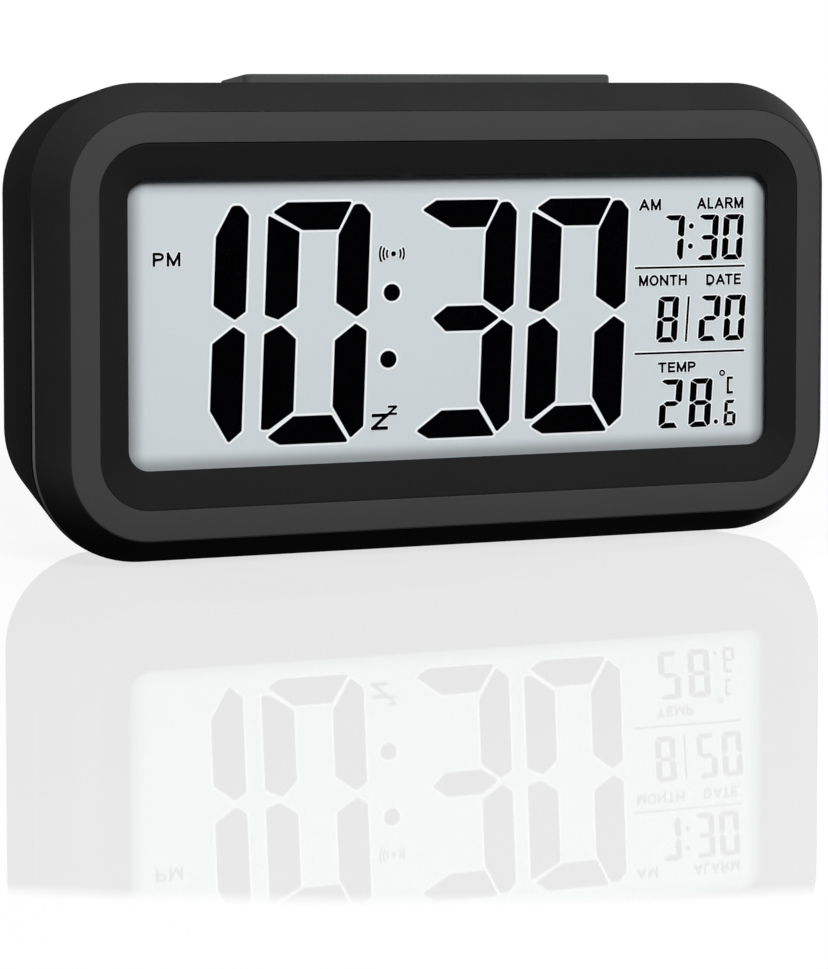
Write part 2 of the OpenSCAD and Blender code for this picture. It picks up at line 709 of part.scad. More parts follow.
// Rear
module rear_shell() {
    difference() {
        union() {
            translate([0, cy, 0]) rotate([0, 180, 0])
                drafted(case_w, case_h, corner_r, rear_draft, draft_len);
            translate([0, cy, -draft_len]) rotate([0, 180, 0])
                drafted(case_w - 2 * rear_draft, case_h - 2 * rear_draft, corner_r - rear_draft,
                    back_chamfer, back_chamfer);
        }
        translate([0, cy, 0.01]) rotate([0, 180, 0])
            drafted(case_w - 2 * wall, case_h - 2 * wall, corner_r - wall, draft_at(back_in), back_in + 0.01);
    }
    difference() {
        slab(case_w - 2 * (wall - lip_t + fit_gap), case_h - 2 * (wall - lip_t + fit_gap),
            corner_r - wall + lip_t - fit_gap, -1, lip_h);
        slab(case_w - 2 * wall - 0.2, case_h - 2 * wall - 0.2, corner_r - wall - 0.1, -2, lip_h + 1);
    }
}

module rear_cover() color([0.05, 0.05, 0.055]) difference() {
    union() {
        face_frame() {
            rear_shell();
            for (sx = [-1, 1], sy = [-1, 1])
                rod(sx * boss_x, cy + sy * boss_y, -back_in - weld, -boss_end - fit_gap, sleeve_r);
            for (x = post_keys) rod(x, key_h, -back_in - weld, key_board_e, post_r);
            difference() {
                block(-bay_half - bay_wall, bay_half + bay_wall, bay_height - bay_half_h - bay_wall,
                    bay_height + bay_half_h + bay_wall, -back_in - weld, bay_floor_e + bay_floor_t);
                block(-bay_half, bay_half, bay_height - bay_half_h, bay_height + bay_half_h,
                    -rear_depth, bay_floor_e);
            }
            difference() {
                rod(buzzer_x, cy, -back_in - weld, -back_in + buzzer_rim, buzzer_r + fit_gap + buzzer_wall);
                rod(buzzer_x, cy, -rear_depth, -back_in + buzzer_rim + 1, buzzer_r + fit_gap);
            }
        }
        for (sx = [-1, 1], b = foot_back)
            translate([sx * foot_x, seam_y + b, foot_t - foot_recess])
                cylinder(h = base_gap + draft_at(b) + wall, r = foot_r + foot_wall);
        top_frame() for (sx = [-1, 1]) rod(sx * post_x, bar_mid, snooze_top, -wall + weld, post_r);
    }
    for (sx = [-1, 1], b = foot_back)
        translate([sx * foot_x, seam_y + b, -1]) cylinder(h = 1 + foot_t, r = foot_r + fit_gap);
    top_frame() {
        translate([0, 0, -wall - 2]) linear_extrude(wall + 6) bar_outline(slide_gap);
        for (sx = [-1, 1]) rod(sx * post_x, bar_mid, snooze_top - 1, snooze_top + pilot_l, small_r + pin_gap);
    }
    face_frame() {
        for (sx = [-1, 1], sy = [-1, 1]) {
            rod(sx * boss_x, cy + sy * boss_y, -rear_depth - 1, -boss_end, screw_r + slide_gap);
            rod(sx * boss_x, cy + sy * boss_y, -rear_depth - 1, -screw_seat, screw_head_r + slide_gap);
        }
        for (x = post_keys) rod(x, key_h, -back_in + 1, 0, small_r + pin_gap);
        for (x = key_x) rod(x, key_h, -rear_depth - 1, -back_in + 1, key_r + slide_gap);
        slot_half = (slider_travel + slider_w) / 2 + slide_gap;
        block(slider_x - slot_half, slider_x + slot_half, key_h - slider_h / 2 - slide_gap,
            key_h + slider_h / 2 + slide_gap, -rear_depth - 1, -back_in + 1);
        translate([0, (open_low + open_top) / 2, -rear_depth - 1]) linear_extrude(wall + 1 + fit_gap)
            square([2 * open_half, open_top - open_low], center = true);
        for (sx = [-1, 1])
            translate([sx * (open_half - 0.5), hinge_h, hinge_e]) rotate([0, sx * 90, 0])
                cylinder(h = 0.5 + pin_l, r = pin_r + pin_gap);
        for (i = [-1, 1])
            translate([i * (plate_x + plate_t / 2), bay_height - i * cell_pitch,
                bay_floor_e + bay_floor_t / 2])
                cube([plate_t + slide_gap, tab_w + 2 * slide_gap, bay_floor_t + 2], center = true);
        rod(buzzer_x, cy, -rear_depth - 1, -back_in + 1, hole_r);
        for (k = [0, 1], i = [0:6 * k + 5])
            translate([buzzer_x, cy, -rear_depth - 1]) rotate([0, 0, 360 * (i + k / 2) / (6 * k + 6)])
                translate([hole_rings[k], 0, 0]) cylinder(h = wall + 2, r = hole_r);
        for (i = [-2:2])
            translate([vent_x + vent_pitch * i, cy, -rear_depth + wall / 2])
                cube([vent_w, vent_h, wall + 2], center = true);
    }
}

module case_screws() color([0.6, 0.6, 0.62]) face_frame()
    for (sx = [-1, 1], sy = [-1, 1])
        screw(sx * boss_x, cy + sy * boss_y, -screw_seat, -boss_end + screw_grip, screw_r, screw_head_r,
            screw_head_t);

module rubber_feet() color([0.08, 0.08, 0.08])
    for (sx = [-1, 1], b = foot_back)
        translate([sx * foot_x, seam_y + b, 0]) cylinder(h = foot_t, r = foot_r);

module key_board() color([0.1, 0.35, 0.18]) face_frame() difference() {
    block(key_x[0] - key_board_end, slider_x + switch_w + board_side, key_h - key_board_h / 2,
        key_h + key_board_h / 2, key_board_e, key_board_e + key_board_t);
    for (x = post_keys) rod(x, key_h, key_board_e - 1, key_board_e + key_board_t + 1, small_hole_r);
}

module key_board_screws() color([0.7, 0.7, 0.72]) face_frame()
    for (x = post_keys) translate([x, key_h, key_board_e + key_board_t]) rotate([0, 180, 0])
        screw(0, 0, 0, key_board_t + pilot_l, small_r, small_head_r, small_head_t);

module key_switches() color([0.1, 0.1, 0.1]) face_frame()
    for (x = key_x) difference() {
        translate([x - switch_w / 2, key_h - switch_w / 2, switch_e]) cube([switch_w, switch_w, switch_t]);
        rod(x, key_h, switch_e - 1, switch_e + plunger_in + key_travel + slide_gap, plunger_r + pin_gap);
    }

module round_key(x) color([0.09, 0.09, 0.095]) face_frame() {
    rod(x, key_h, -rear_depth - key_proud, flange_e + key_flange_t / 2, key_r);
    rod(x, key_h, flange_e, flange_e + key_flange_t, key_r + key_lip);
    rod(x, key_h, flange_e, key_end_e, key_stem_r);
}
module time_key() round_key(key_x[0]);
module alarm_key() round_key(key_x[1]);
module up_key() round_key(key_x[2]);
module down_key() round_key(key_x[3]);

module plunger(x) color([0.8, 0.78, 0.7]) face_frame()
    rod(x, key_h, key_end_e, switch_e + plunger_in, plunger_r);
module time_plunger() plunger(key_x[0]);
module alarm_plunger() plunger(key_x[1]);
module up_plunger() plunger(key_x[2]);
module down_plunger() plunger(key_x[3]);

module alarm_slider() color([0.3, 0.3, 0.31]) face_frame() {
    x = slider_x - slider_travel / 2;
    cover = slider_travel + slider_w / 2 + slider_lap;
    block(x - slider_w / 2, x + slider_w / 2, key_h - slider_h / 2, key_h + slider_h / 2,
        -rear_depth - slider_proud, flange_e + key_flange_t / 2);
    block(x - cover, x + cover, key_h - slider_h, key_h + slider_h, flange_e, flange_e + key_flange_t);
    block(x - slider_post / 2, x + slider_post / 2, key_h - slider_post / 2, key_h + slider_post / 2,
        flange_e + key_flange_t / 2, switch_e + plunger_in);
}

module slide_switch() color([0.65, 0.65, 0.67]) face_frame() difference() {
    slot_half = (slider_travel + slider_post) / 2 + slide_gap;
    block(slider_x - switch_w, slider_x + switch_w, key_h - switch_w / 2, key_h + switch_w / 2, switch_e,
        key_board_e);
    block(slider_x - slot_half, slider_x + slot_half, key_h - slider_post / 2 - slide_gap,
        key_h + slider_post / 2 + slide_gap, switch_e - 1, switch_e + plunger_in + slide_gap);
}

module key_ribbon() color([0.75, 0.75, 0.76]) face_frame() {
    e0 = key_board_e + key_board_t;
    n = 12;
    line = [for (i = [0:n])
        [key_h - ribbon_sag * (1 - cos(360 * i / n)), e0 + (board_back_e - e0) * i / n]];
    half = [ribbon_t / 2, 0];
    translate([-2 * ribbon_w, 0, 0]) rotate([90, 0, 90]) linear_extrude(ribbon_w)
        polygon(concat([for (p = line) p + half], [for (i = [n:-1:0]) line[i] - half]));
}

module buzzer() color([0.1, 0.1, 0.1]) face_frame() difference() {
    rod(buzzer_x, cy, -back_in, -back_in + buzzer_t, buzzer_r);
    rod(buzzer_x, cy, -back_in - 1, -back_in + buzzer_t - buzzer_wall, buzzer_r - buzzer_wall);
}

module buzzer_leads() color([0.7, 0.65, 0.1]) face_frame()
    for (sx = [-1, 1])
        wire(slack([buzzer_x + sx * buzzer_r / 3, cy, -back_in + buzzer_t],
            [buzzer_x + sx * buzzer_r / 3, cy, board_back_e], [0, -1, 0], lead_sag), [1, 0, 0], lead_r, 8);

// Battery bay
module battery_door() color([0.055, 0.055, 0.06]) face_frame() {
    difference() {
        union() {
            translate([0, hinge_h, hinge_e]) rotate([0, 90, 0])
                cylinder(h = 2 * door_half, r = hinge_r, center = true);
            block(-door_half, door_half, hinge_h, door_top, -rear_depth, -back_in);
        }
        translate([0, door_top - notch_r / 3, -rear_depth - 1]) cylinder(h = 1 + notch_t, r = notch_r);
    }
    translate([0, hinge_h, hinge_e]) rotate([0, 90, 0])
        cylinder(h = 2 * (open_half + pin_l - guide_gap), r = pin_r, center = true);
}

module cell(y, side) {
    start = -side * (plate_x - pin_gap);
    face_frame() translate([start, y, cell_e]) rotate([0, side * 90, 0]) {
        cylinder(h = nub_l + pin_gap, r = nub_r);
        translate([0, 0, nub_l]) cylinder(h = cell_l - nub_l, r = cell_r);
    }
}
module battery_top() color([0.5, 0.5, 0.52]) cell(bay_height + cell_pitch, 1);
module battery_middle() color([0.5, 0.5, 0.52]) cell(bay_height, -1);
module battery_bottom() color([0.5, 0.5, 0.52]) cell(bay_height - cell_pitch, 1);

module contact_plates() color([0.8, 0.8, 0.78]) face_frame()
    for (i = [-1, 1]) {
        x = i * (plate_x + plate_t / 2);
        lone = bay_height - i * cell_pitch;
        depth = bay_floor_e - pin_gap - cell_e + contact_w / 2;
        translate([x, lone, cell_e - contact_w / 2 + depth / 2])
            cube([plate_t, contact_w, depth], center = true);
        block(x - plate_t / 2, x + plate_t / 2, lone - tab_w / 2, lone + tab_w / 2, cell_e,
            bay_floor_e + bay_floor_t + tab_out);
        translate([x, bay_height + i * cell_pitch / 2, cell_e - contact_w / 2 + depth / 2])
            cube([plate_t, cell_pitch + contact_w, depth], center = true);
    }

module contact_springs() color([0.8, 0.8, 0.78]) {
    gap = 2 * plate_x - pin_gap - cell_l;
    path = coil(coil_r, 4, gap - 2 * coil_seat, 8);
    echo(contact_spring_gap = least_gap(path, coil_wire, 8));
    for (s = [[1, 1], [0, -1], [-1, 1]])
        face_frame() translate([s[1] * (plate_x - coil_seat), bay_height + s[0] * cell_pitch, cell_e])
            rotate([0, -s[1] * 90, 0]) wire(path, [0, 0, 1], coil_wire, 6);
}

module battery_leads() color([0.7, 0.1, 0.1]) face_frame()
    for (i = [-1, 1]) {
        x = i * (plate_x + plate_t / 2);
        y = bay_height - i * cell_pitch;
        wire(slack([x, y, bay_floor_e + bay_floor_t + tab_out], [x, y, board_back_e], [0, -1, 0], lead_sag),
            [1, 0, 0], lead_r, 8);
    }

front_case();
trim_ring();
display_bezel();
display_window();
lcd_front_glass();
lcd_rear_glass();
lcd_time_digits();
lcd_small_digits();
light_guide();
reflector_sheet();
backlight_leds();
lcd_tray();
tray_screws();
zebra_strip();
main_board();
board_screws();
board_parts();
temperature_sensor();
snooze_bar();
snooze_pill();
snooze_springs();
snooze_board();
snooze_screws();
snooze_leads();
rear_cover();
case_screws();
rubber_feet();
key_board();
key_board_screws();
key_switches();
time_key();
alarm_key();
up_key();
down_key();
time_plunger();
alarm_plunger();
up_plunger();
down_plunger();
alarm_slider();
slide_switch();
key_ribbon();
buzzer();
buzzer_leads();
battery_door();
battery_top();
battery_middle();
battery_bottom();
contact_plates();
contact_springs();
battery_leads();
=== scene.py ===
# Looks of a desk clock with a wide display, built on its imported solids; sizes are in mm until a mesh is made
import math

import bmesh
import bpy
import numpy as np
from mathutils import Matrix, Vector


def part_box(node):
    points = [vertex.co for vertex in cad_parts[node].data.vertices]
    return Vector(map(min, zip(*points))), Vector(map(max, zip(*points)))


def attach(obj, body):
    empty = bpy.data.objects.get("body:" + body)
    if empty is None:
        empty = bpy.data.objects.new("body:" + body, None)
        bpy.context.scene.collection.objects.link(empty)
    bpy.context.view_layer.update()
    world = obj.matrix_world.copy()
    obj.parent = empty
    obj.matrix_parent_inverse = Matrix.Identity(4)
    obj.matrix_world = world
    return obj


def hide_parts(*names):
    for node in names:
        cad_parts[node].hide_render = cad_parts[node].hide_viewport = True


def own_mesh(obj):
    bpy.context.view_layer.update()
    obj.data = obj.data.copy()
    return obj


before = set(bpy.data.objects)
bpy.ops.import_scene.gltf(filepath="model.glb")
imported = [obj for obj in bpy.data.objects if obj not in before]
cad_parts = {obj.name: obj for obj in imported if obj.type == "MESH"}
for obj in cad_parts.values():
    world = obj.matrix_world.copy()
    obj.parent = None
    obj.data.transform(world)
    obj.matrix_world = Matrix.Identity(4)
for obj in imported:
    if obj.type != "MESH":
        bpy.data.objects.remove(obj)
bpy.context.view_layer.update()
mm = 0.001
hair = 0.01  # keeps a rounded end from closing to a point


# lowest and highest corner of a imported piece
def boxMm(node):
    low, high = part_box(node)
    return np.array(low) / mm, np.array(high) / mm


# Planes of the case, from the frame and a few driving sizes
caseShape = {
    "cornerRadius": 17.0,
    "frontDepth": 8.0,
    "bevel": 4.36,
    "draft": 2.4,
    "backBevel": 2.0,
    "wall": 2.4,
    "seamRound": 0.15,
    "edgeRound": 0.04,
    "arcPoints": 20,
    "creaseDegrees": 32,
}
caseCorner = caseShape["cornerRadius"]
caseWall = caseShape["wall"]
caseLow, caseHigh = boxMm("front_case")
halfWidth = caseHigh[0]
halfHeight = (caseHigh[2] - caseLow[2]) / 2
midZ = (caseHigh[2] + caseLow[2]) / 2
seamY = caseLow[1] + caseShape["frontDepth"]
backY = boxMm("rear_cover")[1][1]
rearDepth = backY - seamY
tilt = math.atan(caseShape["draft"] / (rearDepth - caseShape["backBevel"]))
xAxis, yAxis, zAxis = np.eye(3)
# each set of axes is origin, right, up and out
faceAxes = (np.array([0, seamY, midZ]), xAxis, zAxis, -yAxis)
backAxes = (np.array([0, backY, 0]), -xAxis, zAxis, yAxis)
topAxes = (np.array([0, seamY, midZ + halfHeight]), xAxis,
           math.cos(tilt) * yAxis - math.sin(tilt) * zAxis, math.sin(tilt) * yAxis + math.cos(tilt) * zAxis)
underAxes = (np.zeros(3), xAxis, -yAxis, -zAxis)
sideAxes = (np.zeros(3), yAxis, zAxis, xAxis)


# Shapes as grids

# a polyline whose corners are arcs: each arc touches its two sides at radius / tan(half the corner angle)
# from the corner, and its points swing about the arc's centre from the first side to the second;
# an open line keeps its two ends, so its radii are those of the corners between them
def rounded(corners, radii, steps=5, closed=True):
    points = np.array(corners, float)
    radius = np.array(radii if closed else (1, *radii, 1), float)[:, None]
    before = np.roll(points, 1, 0) - points
    after = np.roll(points, -1, 0) - points
    before /= np.linalg.norm(before, axis=1, keepdims=True)
    after /= np.linalg.norm(after, axis=1, keepdims=True)
    half = np.arccos(np.clip((before * after).sum(1, keepdims=True), -0.9999, 0.9999)) / 2
    middle = before + after
    middle /= np.linalg.norm(middle, axis=1, keepdims=True)
    centre = points + middle * radius / np.sin(half)
    start = points + before * radius / np.tan(half) - centre
    end = points + after * radius / np.tan(half) - centre
    sweep = math.pi - 2 * half
    share = np.linspace(0, 1, steps + 1)
    swing = (start[:, None] * np.sin((1 - share) * sweep)[..., None]
             + end[:, None] * np.sin(share * sweep)[..., None])
    arcs = centre[:, None] + swing / np.sin(sweep)[..., None]
    if closed:
        return arcs.reshape(-1, 2)
    return np.concatenate([points[:1], arcs[1:-1].reshape(-1, 2), points[-1:]])


# rounded rectangles: each corner is a quarter circle of the row's radius about a point set in by that radius;
# a row is half width, half height, corner radius and level, so a stack of rows makes a grid
def ringGrid(rows, axes, centre=(0, 0), arcPoints=caseShape["arcPoints"]):
    halfW, halfH, radius, level = np.array(rows, float).T[:, :, None]
    quarter = np.linspace(0, math.pi / 2, arcPoints + 1)
    angle = (quarter + math.pi / 2 * np.arange(4)[:, None]).ravel()
    signX = np.repeat([1, -1, -1, 1], len(quarter))
    signY = np.repeat([1, 1, -1, -1], len(quarter))
    x = centre[0] + signX * (halfW - radius) + radius * np.cos(angle)
    y = centre[1] + signY * (halfH - radius) + radius * np.sin(angle)
    origin, right, up, out = axes
    return origin + x[..., None] * right + y[..., None] * up + level[..., None] * out


# a section carried round the case: inset and level come from the section, and the inset at the top and
# the corner radius follow the inset at the sides through a short table
def caseGrid(section, table, centre=(0, 0)):
    inset, level = section.T
    sides, tops, radii = np.array(table, float).T
    halfH = halfHeight - np.interp(inset, sides, tops)
    rows = np.stack([halfWidth - inset, halfH, np.interp(inset, sides, radii), level], -1)
    return ringGrid(rows, faceAxes, centre)


# a section of radius and level turned about the out axis
def turned(section, axes, centre, arcPoints):
    radius, level = np.array(section, float).T
    return ringGrid(np.stack([radius, radius, radius, level], -1), axes, centre, arcPoints)


def shaft(radius, low, high, axes, centre, arcPoints=8):
    return turned([(radius, low), (radius, high)], axes, centre, arcPoints)


# faces of a grid that is closed around; a closed section also joins its last ring to its first,
# and an open one gets a flat face at each end
def gridFaces(rings, around, closedSection):
    index = np.arange(rings * around).reshape(rings, around)
    lower = index if closedSection else index[:-1]
    upper = np.roll(index, -1, 0) if closedSection else index[1:]
    quads = np.stack([lower, np.roll(lower, -1, 1), np.roll(upper, -1, 1), upper], -1).reshape(-1, 4).tolist()
    ends = [] if closedSection else [index[0, ::-1].tolist(), index[-1].tolist()]
    return quads + ends


# doubles merged, faces turned outwards, and edges sharp past the crease angle
def tidyMesh(mesh, creaseDegrees=caseShape["creaseDegrees"]):
    work = bmesh.new()
    work.from_mesh(mesh)
    bmesh.ops.remove_doubles(work, verts=work.verts, dist=1e-7)
    bmesh.ops.recalc_face_normals(work, faces=work.faces)
    work.to_mesh(mesh)
    work.free()
    mesh.polygons.foreach_set("use_smooth", np.ones(len(mesh.polygons), bool))
    mesh.set_sharp_from_angle(angle=math.radians(creaseDegrees))


# shapes in one mesh, each its points and its faces, whose numbers move on by the points before them
def meshObject(name, shapes, creaseDegrees=caseShape["creaseDegrees"]):
    points = []
    faces = []
    total = 0
    for spots, parts in shapes:
        points.append(np.reshape(spots, (-1, 3)))
        faces += [[i + total for i in part] for part in parts]
        total += len(points[-1])
    mesh = bpy.data.meshes.new(name)
    mesh.from_pydata(np.concatenate(points) * mm, [], faces)
    tidyMesh(mesh, creaseDegrees)
    made = bpy.data.objects.new(name, mesh)
    bpy.context.scene.collection.objects.link(made)
    return made


def gridsObject(name, grids, closedSection=False, creaseDegrees=caseShape["creaseDegrees"]):
    shapes = [(grid, gridFaces(*grid.shape[:2], closedSection)) for grid in grids]
    return meshObject(name, shapes, creaseDegrees)


def combine(target, other, operation):
    step = target.modifiers.new(operation.lower(), "BOOLEAN")
    step.operation = operation
    step.solver = "EXACT"
    step.use_self = True  # the solids in one mesh may overlap
    step.object = other
    bpy.context.view_layer.update()
    result = bpy.data.meshes.new_from_object(target.evaluated_get(bpy.context.evaluated_depsgraph_get()))
    target.modifiers.remove(step)
    target.data = result
    bpy.data.objects.remove(other)


def finished(piece, body, slot, material, *nodes):
    piece.data.materials.clear()
    piece.data.materials.append(material)
    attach(piece, body)
    if nodes:
        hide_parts(*nodes)
    return piece


# Materials

def setInputs(tree, node, inputs):
    for key, value in inputs.items():
        if isinstance(value, bpy.types.NodeSocket):
            tree.links.new(value, node.inputs[key])
        else:
            node.inputs[key].default_value = value


def addNode(tree, kind, inputs, **settings):
    made = tree.nodes.new(kind)
    for key, value in settings.items():
        setattr(made, key, value)
    setInputs(tree, made, inputs)
    return made


def calc(tree, operation, *values):
    return addNode(tree, "ShaderNodeMath", dict(enumerate(values)), operation=operation).outputs[0]


# a value carried from one span to another, evenly or along a smooth step
def mapped(tree, value, span, result, kind="LINEAR"):
    inputs = dict(enumerate((value, *span, *result)))
    return addNode(tree, "ShaderNodeMapRange", inputs, interpolation_type=kind).outputs[0]


# the product of smooth steps, each a value, a span in mm and the two results
def smoothMask(tree, *steps):
    mask, *others = [mapped(tree, value, (low * mm, high * mm), result, "SMOOTHSTEP")
                     for value, (low, high), result in steps]
    for other in others:
        mask = calc(tree, "MULTIPLY", mask, other)
    return mask


def objectCoords(tree):
    return addNode(tree, "ShaderNodeTexCoord", {}).outputs["Object"]


def noise(tree, scale, detail=2.0):
    inputs = {"Vector": objectCoords(tree), "Scale": scale, "Detail": detail}
    return addNode(tree, "ShaderNodeTexNoise", inputs).outputs["Fac"]


def tinted(tree, color, share):
    return addNode(tree, "ShaderNodeVectorMath", {0: color, "Scale": share}, operation="SCALE").outputs[0]


# inputs 6 and 7 of this node and its output 2 are those for colours
def mixColor(tree, share, first, second):
    return addNode(tree, "ShaderNodeMix", {0: share, 6: first, 7: second}, data_type="RGBA").outputs[2]


def bumped(tree, strength, distance, height):
    inputs = {"Strength": strength, "Distance": distance, "Height": height}
    return addNode(tree, "ShaderNodeBump", inputs).outputs["Normal"]


# a written colour as linear light, by the sRGB curve
def srgb(*levels):
    share = np.array(levels, float) / 255
    linear = np.where(share > 0.04045, ((share + 0.055) / 1.055) ** 2.4, share / 12.92)
    return (*linear.tolist(), 1.0)


white = (1, 1, 1, 1)

# spark-eroded moulding grain: a fine noise gives the bump and the roughness, a broad one shifts the tone
grainShape = {
    "broadScale": 60.0,
    "broadDetail": 3.0,
    "broadSpan": (0.3, 0.7),
    "roughSpread": 0.12,
    "bumpMetres": 0.00008,
}


def makeGrainGroup():
    group = bpy.data.node_groups.new("mouldedGrain", "ShaderNodeTree")
    sockets = {"INPUT": ("Color", "Tone", "Fineness", "Depth", "Roughness"),
               "OUTPUT": ("Color", "Roughness", "Normal")}
    kinds = {"Color": "NodeSocketColor", "Normal": "NodeSocketVector"}
    for way, names in sockets.items():
        for name in names:
            group.interface.new_socket(name, in_out=way, socket_type=kinds.get(name, "NodeSocketFloat"))
    given = group.nodes.new("NodeGroupInput").outputs
    fine = noise(group, given["Fineness"])
    broad = noise(group, grainShape["broadScale"], grainShape["broadDetail"])
    swing = mapped(group, broad, grainShape["broadSpan"], (-1, 1))
    tone = calc(group, "MULTIPLY_ADD", swing, given["Tone"], 1.0)
    speck = calc(group, "SUBTRACT", fine, 0.5)
    setInputs(group, group.nodes.new("NodeGroupOutput"), {
        "Color": tinted(group, given["Color"], tone),
        "Roughness": calc(group, "MULTIPLY_ADD", speck, grainShape["roughSpread"], given["Roughness"]),
        "Normal": bumped(group, given["Depth"], grainShape["bumpMetres"], fine),
    })
    return group


grainGroup = makeGrainGroup()


def newMaterial(name):
    material = bpy.data.materials.new(name)
    material.use_nodes = True
    tree = material.node_tree
    return material, tree, tree.nodes["Principled BSDF"]


def grained(name, color, roughness=0.5, tone=0.06, fineness=3500.0, depth=0.2, **sockets):
    material, tree, shader = newMaterial(name)
    values = {"Color": srgb(*color), "Tone": tone, "Fineness": fineness, "Depth": depth,
              "Roughness": roughness}
    grain = addNode(tree, "ShaderNodeGroup", values, node_tree=grainGroup).outputs
    setInputs(tree, shader, {"Base Color": grain["Color"], "Roughness": grain["Roughness"],
                             "Normal": grain["Normal"], **sockets})
    return material


dullSheen = {"Specular IOR Level": 0.001}
blackSheen = {"Specular IOR Level": 0.0003}
edgeSheen = {"Specular IOR Level": 0.05}
clearBody = {"Transmission Weight": 0.6}
metal = {"Metallic": 1.0}
jacket = {"tone": 0.05, "fineness": 2600.0, "depth": 0.05, "Coat Weight": 0.4}
caseBlack = grained("caseBlack", (49, 49, 50), fineness=4200.0, depth=0.16, **blackSheen)
coverBlack = grained("coverBlack", (37, 37, 38), 0.8, fineness=3600.0, depth=0.3, **blackSheen)
trimGrey = grained("trimGrey", (67, 67, 67), 0.55, tone=0.02, fineness=5200.0, depth=0.1, **dullSheen)
bezelDark = grained("bezelDark", (33, 33, 33), 0.6, tone=0.03, fineness=5200.0, depth=0.1, **dullSheen)
snoozeGrey = grained("snoozeGrey", (73, 74, 74), 0.45, fineness=3800.0, **dullSheen)
keyBlack = grained("keyBlack", (40, 40, 41), 0.42, fineness=5200.0, depth=0.12, **dullSheen)
sliderGrey = grained("sliderGrey", (88, 89, 91), fineness=5200.0, depth=0.15)
footRubber = grained("footRubber", (30, 30, 30), 0.85, tone=0.12, fineness=2600.0, depth=0.5, **dullSheen)
markWhite = grained("markWhite", (205, 206, 204), 0.6, tone=0.03, fineness=6000.0, depth=0.05)
displayPrint = grained("displayPrint", (1, 1, 2), 0.6, tone=0.1, fineness=6000.0, depth=0.05, **dullSheen)
displayEdge = grained("displayEdge", (240, 243, 244), 0.6, tone=0.01, fineness=6000.0, depth=0.02,
                      **edgeSheen)
whitePlastic = grained("whitePlastic", (226, 226, 220), fineness=3000.0)
guideClear = grained("guideClear", (226, 234, 238), 0.2, tone=0.02, depth=0.05, **clearBody)
ledYellow = grained("ledYellow", (240, 226, 150), 0.3, tone=0.08, depth=0.08)
contactRubber = grained("contactRubber", (62, 62, 66), 0.8, tone=0.2, fineness=2400.0, depth=0.4)
componentBlack = grained("componentBlack", (28, 28, 30), fineness=4000.0, depth=0.3)
leadRed = grained("leadRed", (150, 32, 28), 0.45, fineness=5000.0)
leadYellow = grained("leadYellow", (196, 170, 44), 0.45, fineness=5000.0)
plungerIvory = grained("plungerIvory", (214, 206, 182), 0.45, fineness=5000.0)
ribbonGrey = grained("ribbonGrey", (186, 187, 189), tone=0.1, fineness=2600.0)
cellJacket = grained("cellJacket", (36, 37, 42), 0.28, **jacket)
cellBand = grained("cellBand", (158, 160, 164), 0.3, **jacket)
screwSteel = grained("screwSteel", (150, 151, 154), 0.34, tone=0.1, fineness=2200.0, **metal)
springSteel = grained("springSteel", (176, 178, 182), 0.28, tone=0.08, fineness=3000.0, **metal)
switchSteel = grained("switchSteel", (168, 169, 172), 0.36, tone=0.1, fineness=2600.0, **metal)
contactNickel = grained("contactNickel", (196, 194, 186), 0.26, tone=0.1, fineness=2400.0, **metal)

# green solder mask with paler patches: each is where the distance to the nearest of many scattered points,
# measured along the axes, is short
boardFinish = {
    "scale": 220.0,
    "edge": (0.28, 0.34),
    "track": (38, 112, 62),
    "mask": (20, 78, 42),
    "roughness": (0.3, 0.42),
    "bump": 0.3,
    "bumpMetres": 0.00005,
}


def boardMaterial():
    material, tree, shader = newMaterial("boardGreen")
    inputs = {"Vector": objectCoords(tree), "Scale": boardFinish["scale"]}
    distance = addNode(tree, "ShaderNodeTexVoronoi", inputs, distance="MANHATTAN").outputs["Distance"]
    mask = mapped(tree, distance, boardFinish["edge"], (0, 1))
    setInputs(tree, shader, {
        "Base Color": mixColor(tree, mask, srgb(*boardFinish["track"]), srgb(*boardFinish["mask"])),
        "Roughness": mapped(tree, mask, (0, 1), boardFinish["roughness"]),
        "Normal": bumped(tree, boardFinish["bump"], boardFinish["bumpMetres"], mask),
    })
    return material


# clear lens: only its reflection shows, and that follows Fresnel's law for a coated surface
lensFinish = {
    "ior": 1.04,
    "hazeScale": 30.0,
    "roughness": (0.06, 0.12),
}


def windowMaterial():
    material, tree, shader = newMaterial("windowClear")
    setInputs(tree, shader, {
        "Base Color": white,
        "Metallic": 1.0,
        "Alpha": addNode(tree, "ShaderNodeFresnel", {"IOR": lensFinish["ior"]}).outputs[0],
        "Roughness": mapped(tree, noise(tree, lensFinish["hazeScale"]), (0, 1), lensFinish["roughness"]),
    })
    return material


# Opening in the bezel: the lens goes on under the bezel by about the lap on every side
windowShape = {
    "lap": 2.0,
    "taller": 0.2,
    "right": 0.33,
    "up": 0.2,
    "corner": 3.4,
}
windowLow, windowHigh = boxMm("display_window")
openHalfW = windowHigh[0] - windowShape["lap"]
openHalfH = (windowHigh[2] - windowLow[2]) / 2 - windowShape["lap"] + windowShape["taller"]
openX = windowShape["right"]
openZ = midZ + windowShape["up"]

# display panel: pale blue-grey with a painted shade, darker towards each side of the window, a smooth step in
# from each edge; a side has the step's width and its level at the edge
panelShade = {
    "center": (205, 213, 216),
    "left": (3.4, 0.36),
    "right": (2.6, 0.5),
    "bottom": (2.7, 0.48),
    "top": (3.3, 0.42),
    "cloudScale": 25.0,
    "cloud": (0.985, 1.015),
    "roughness": 0.7,
    "sheen": 0.05,
}


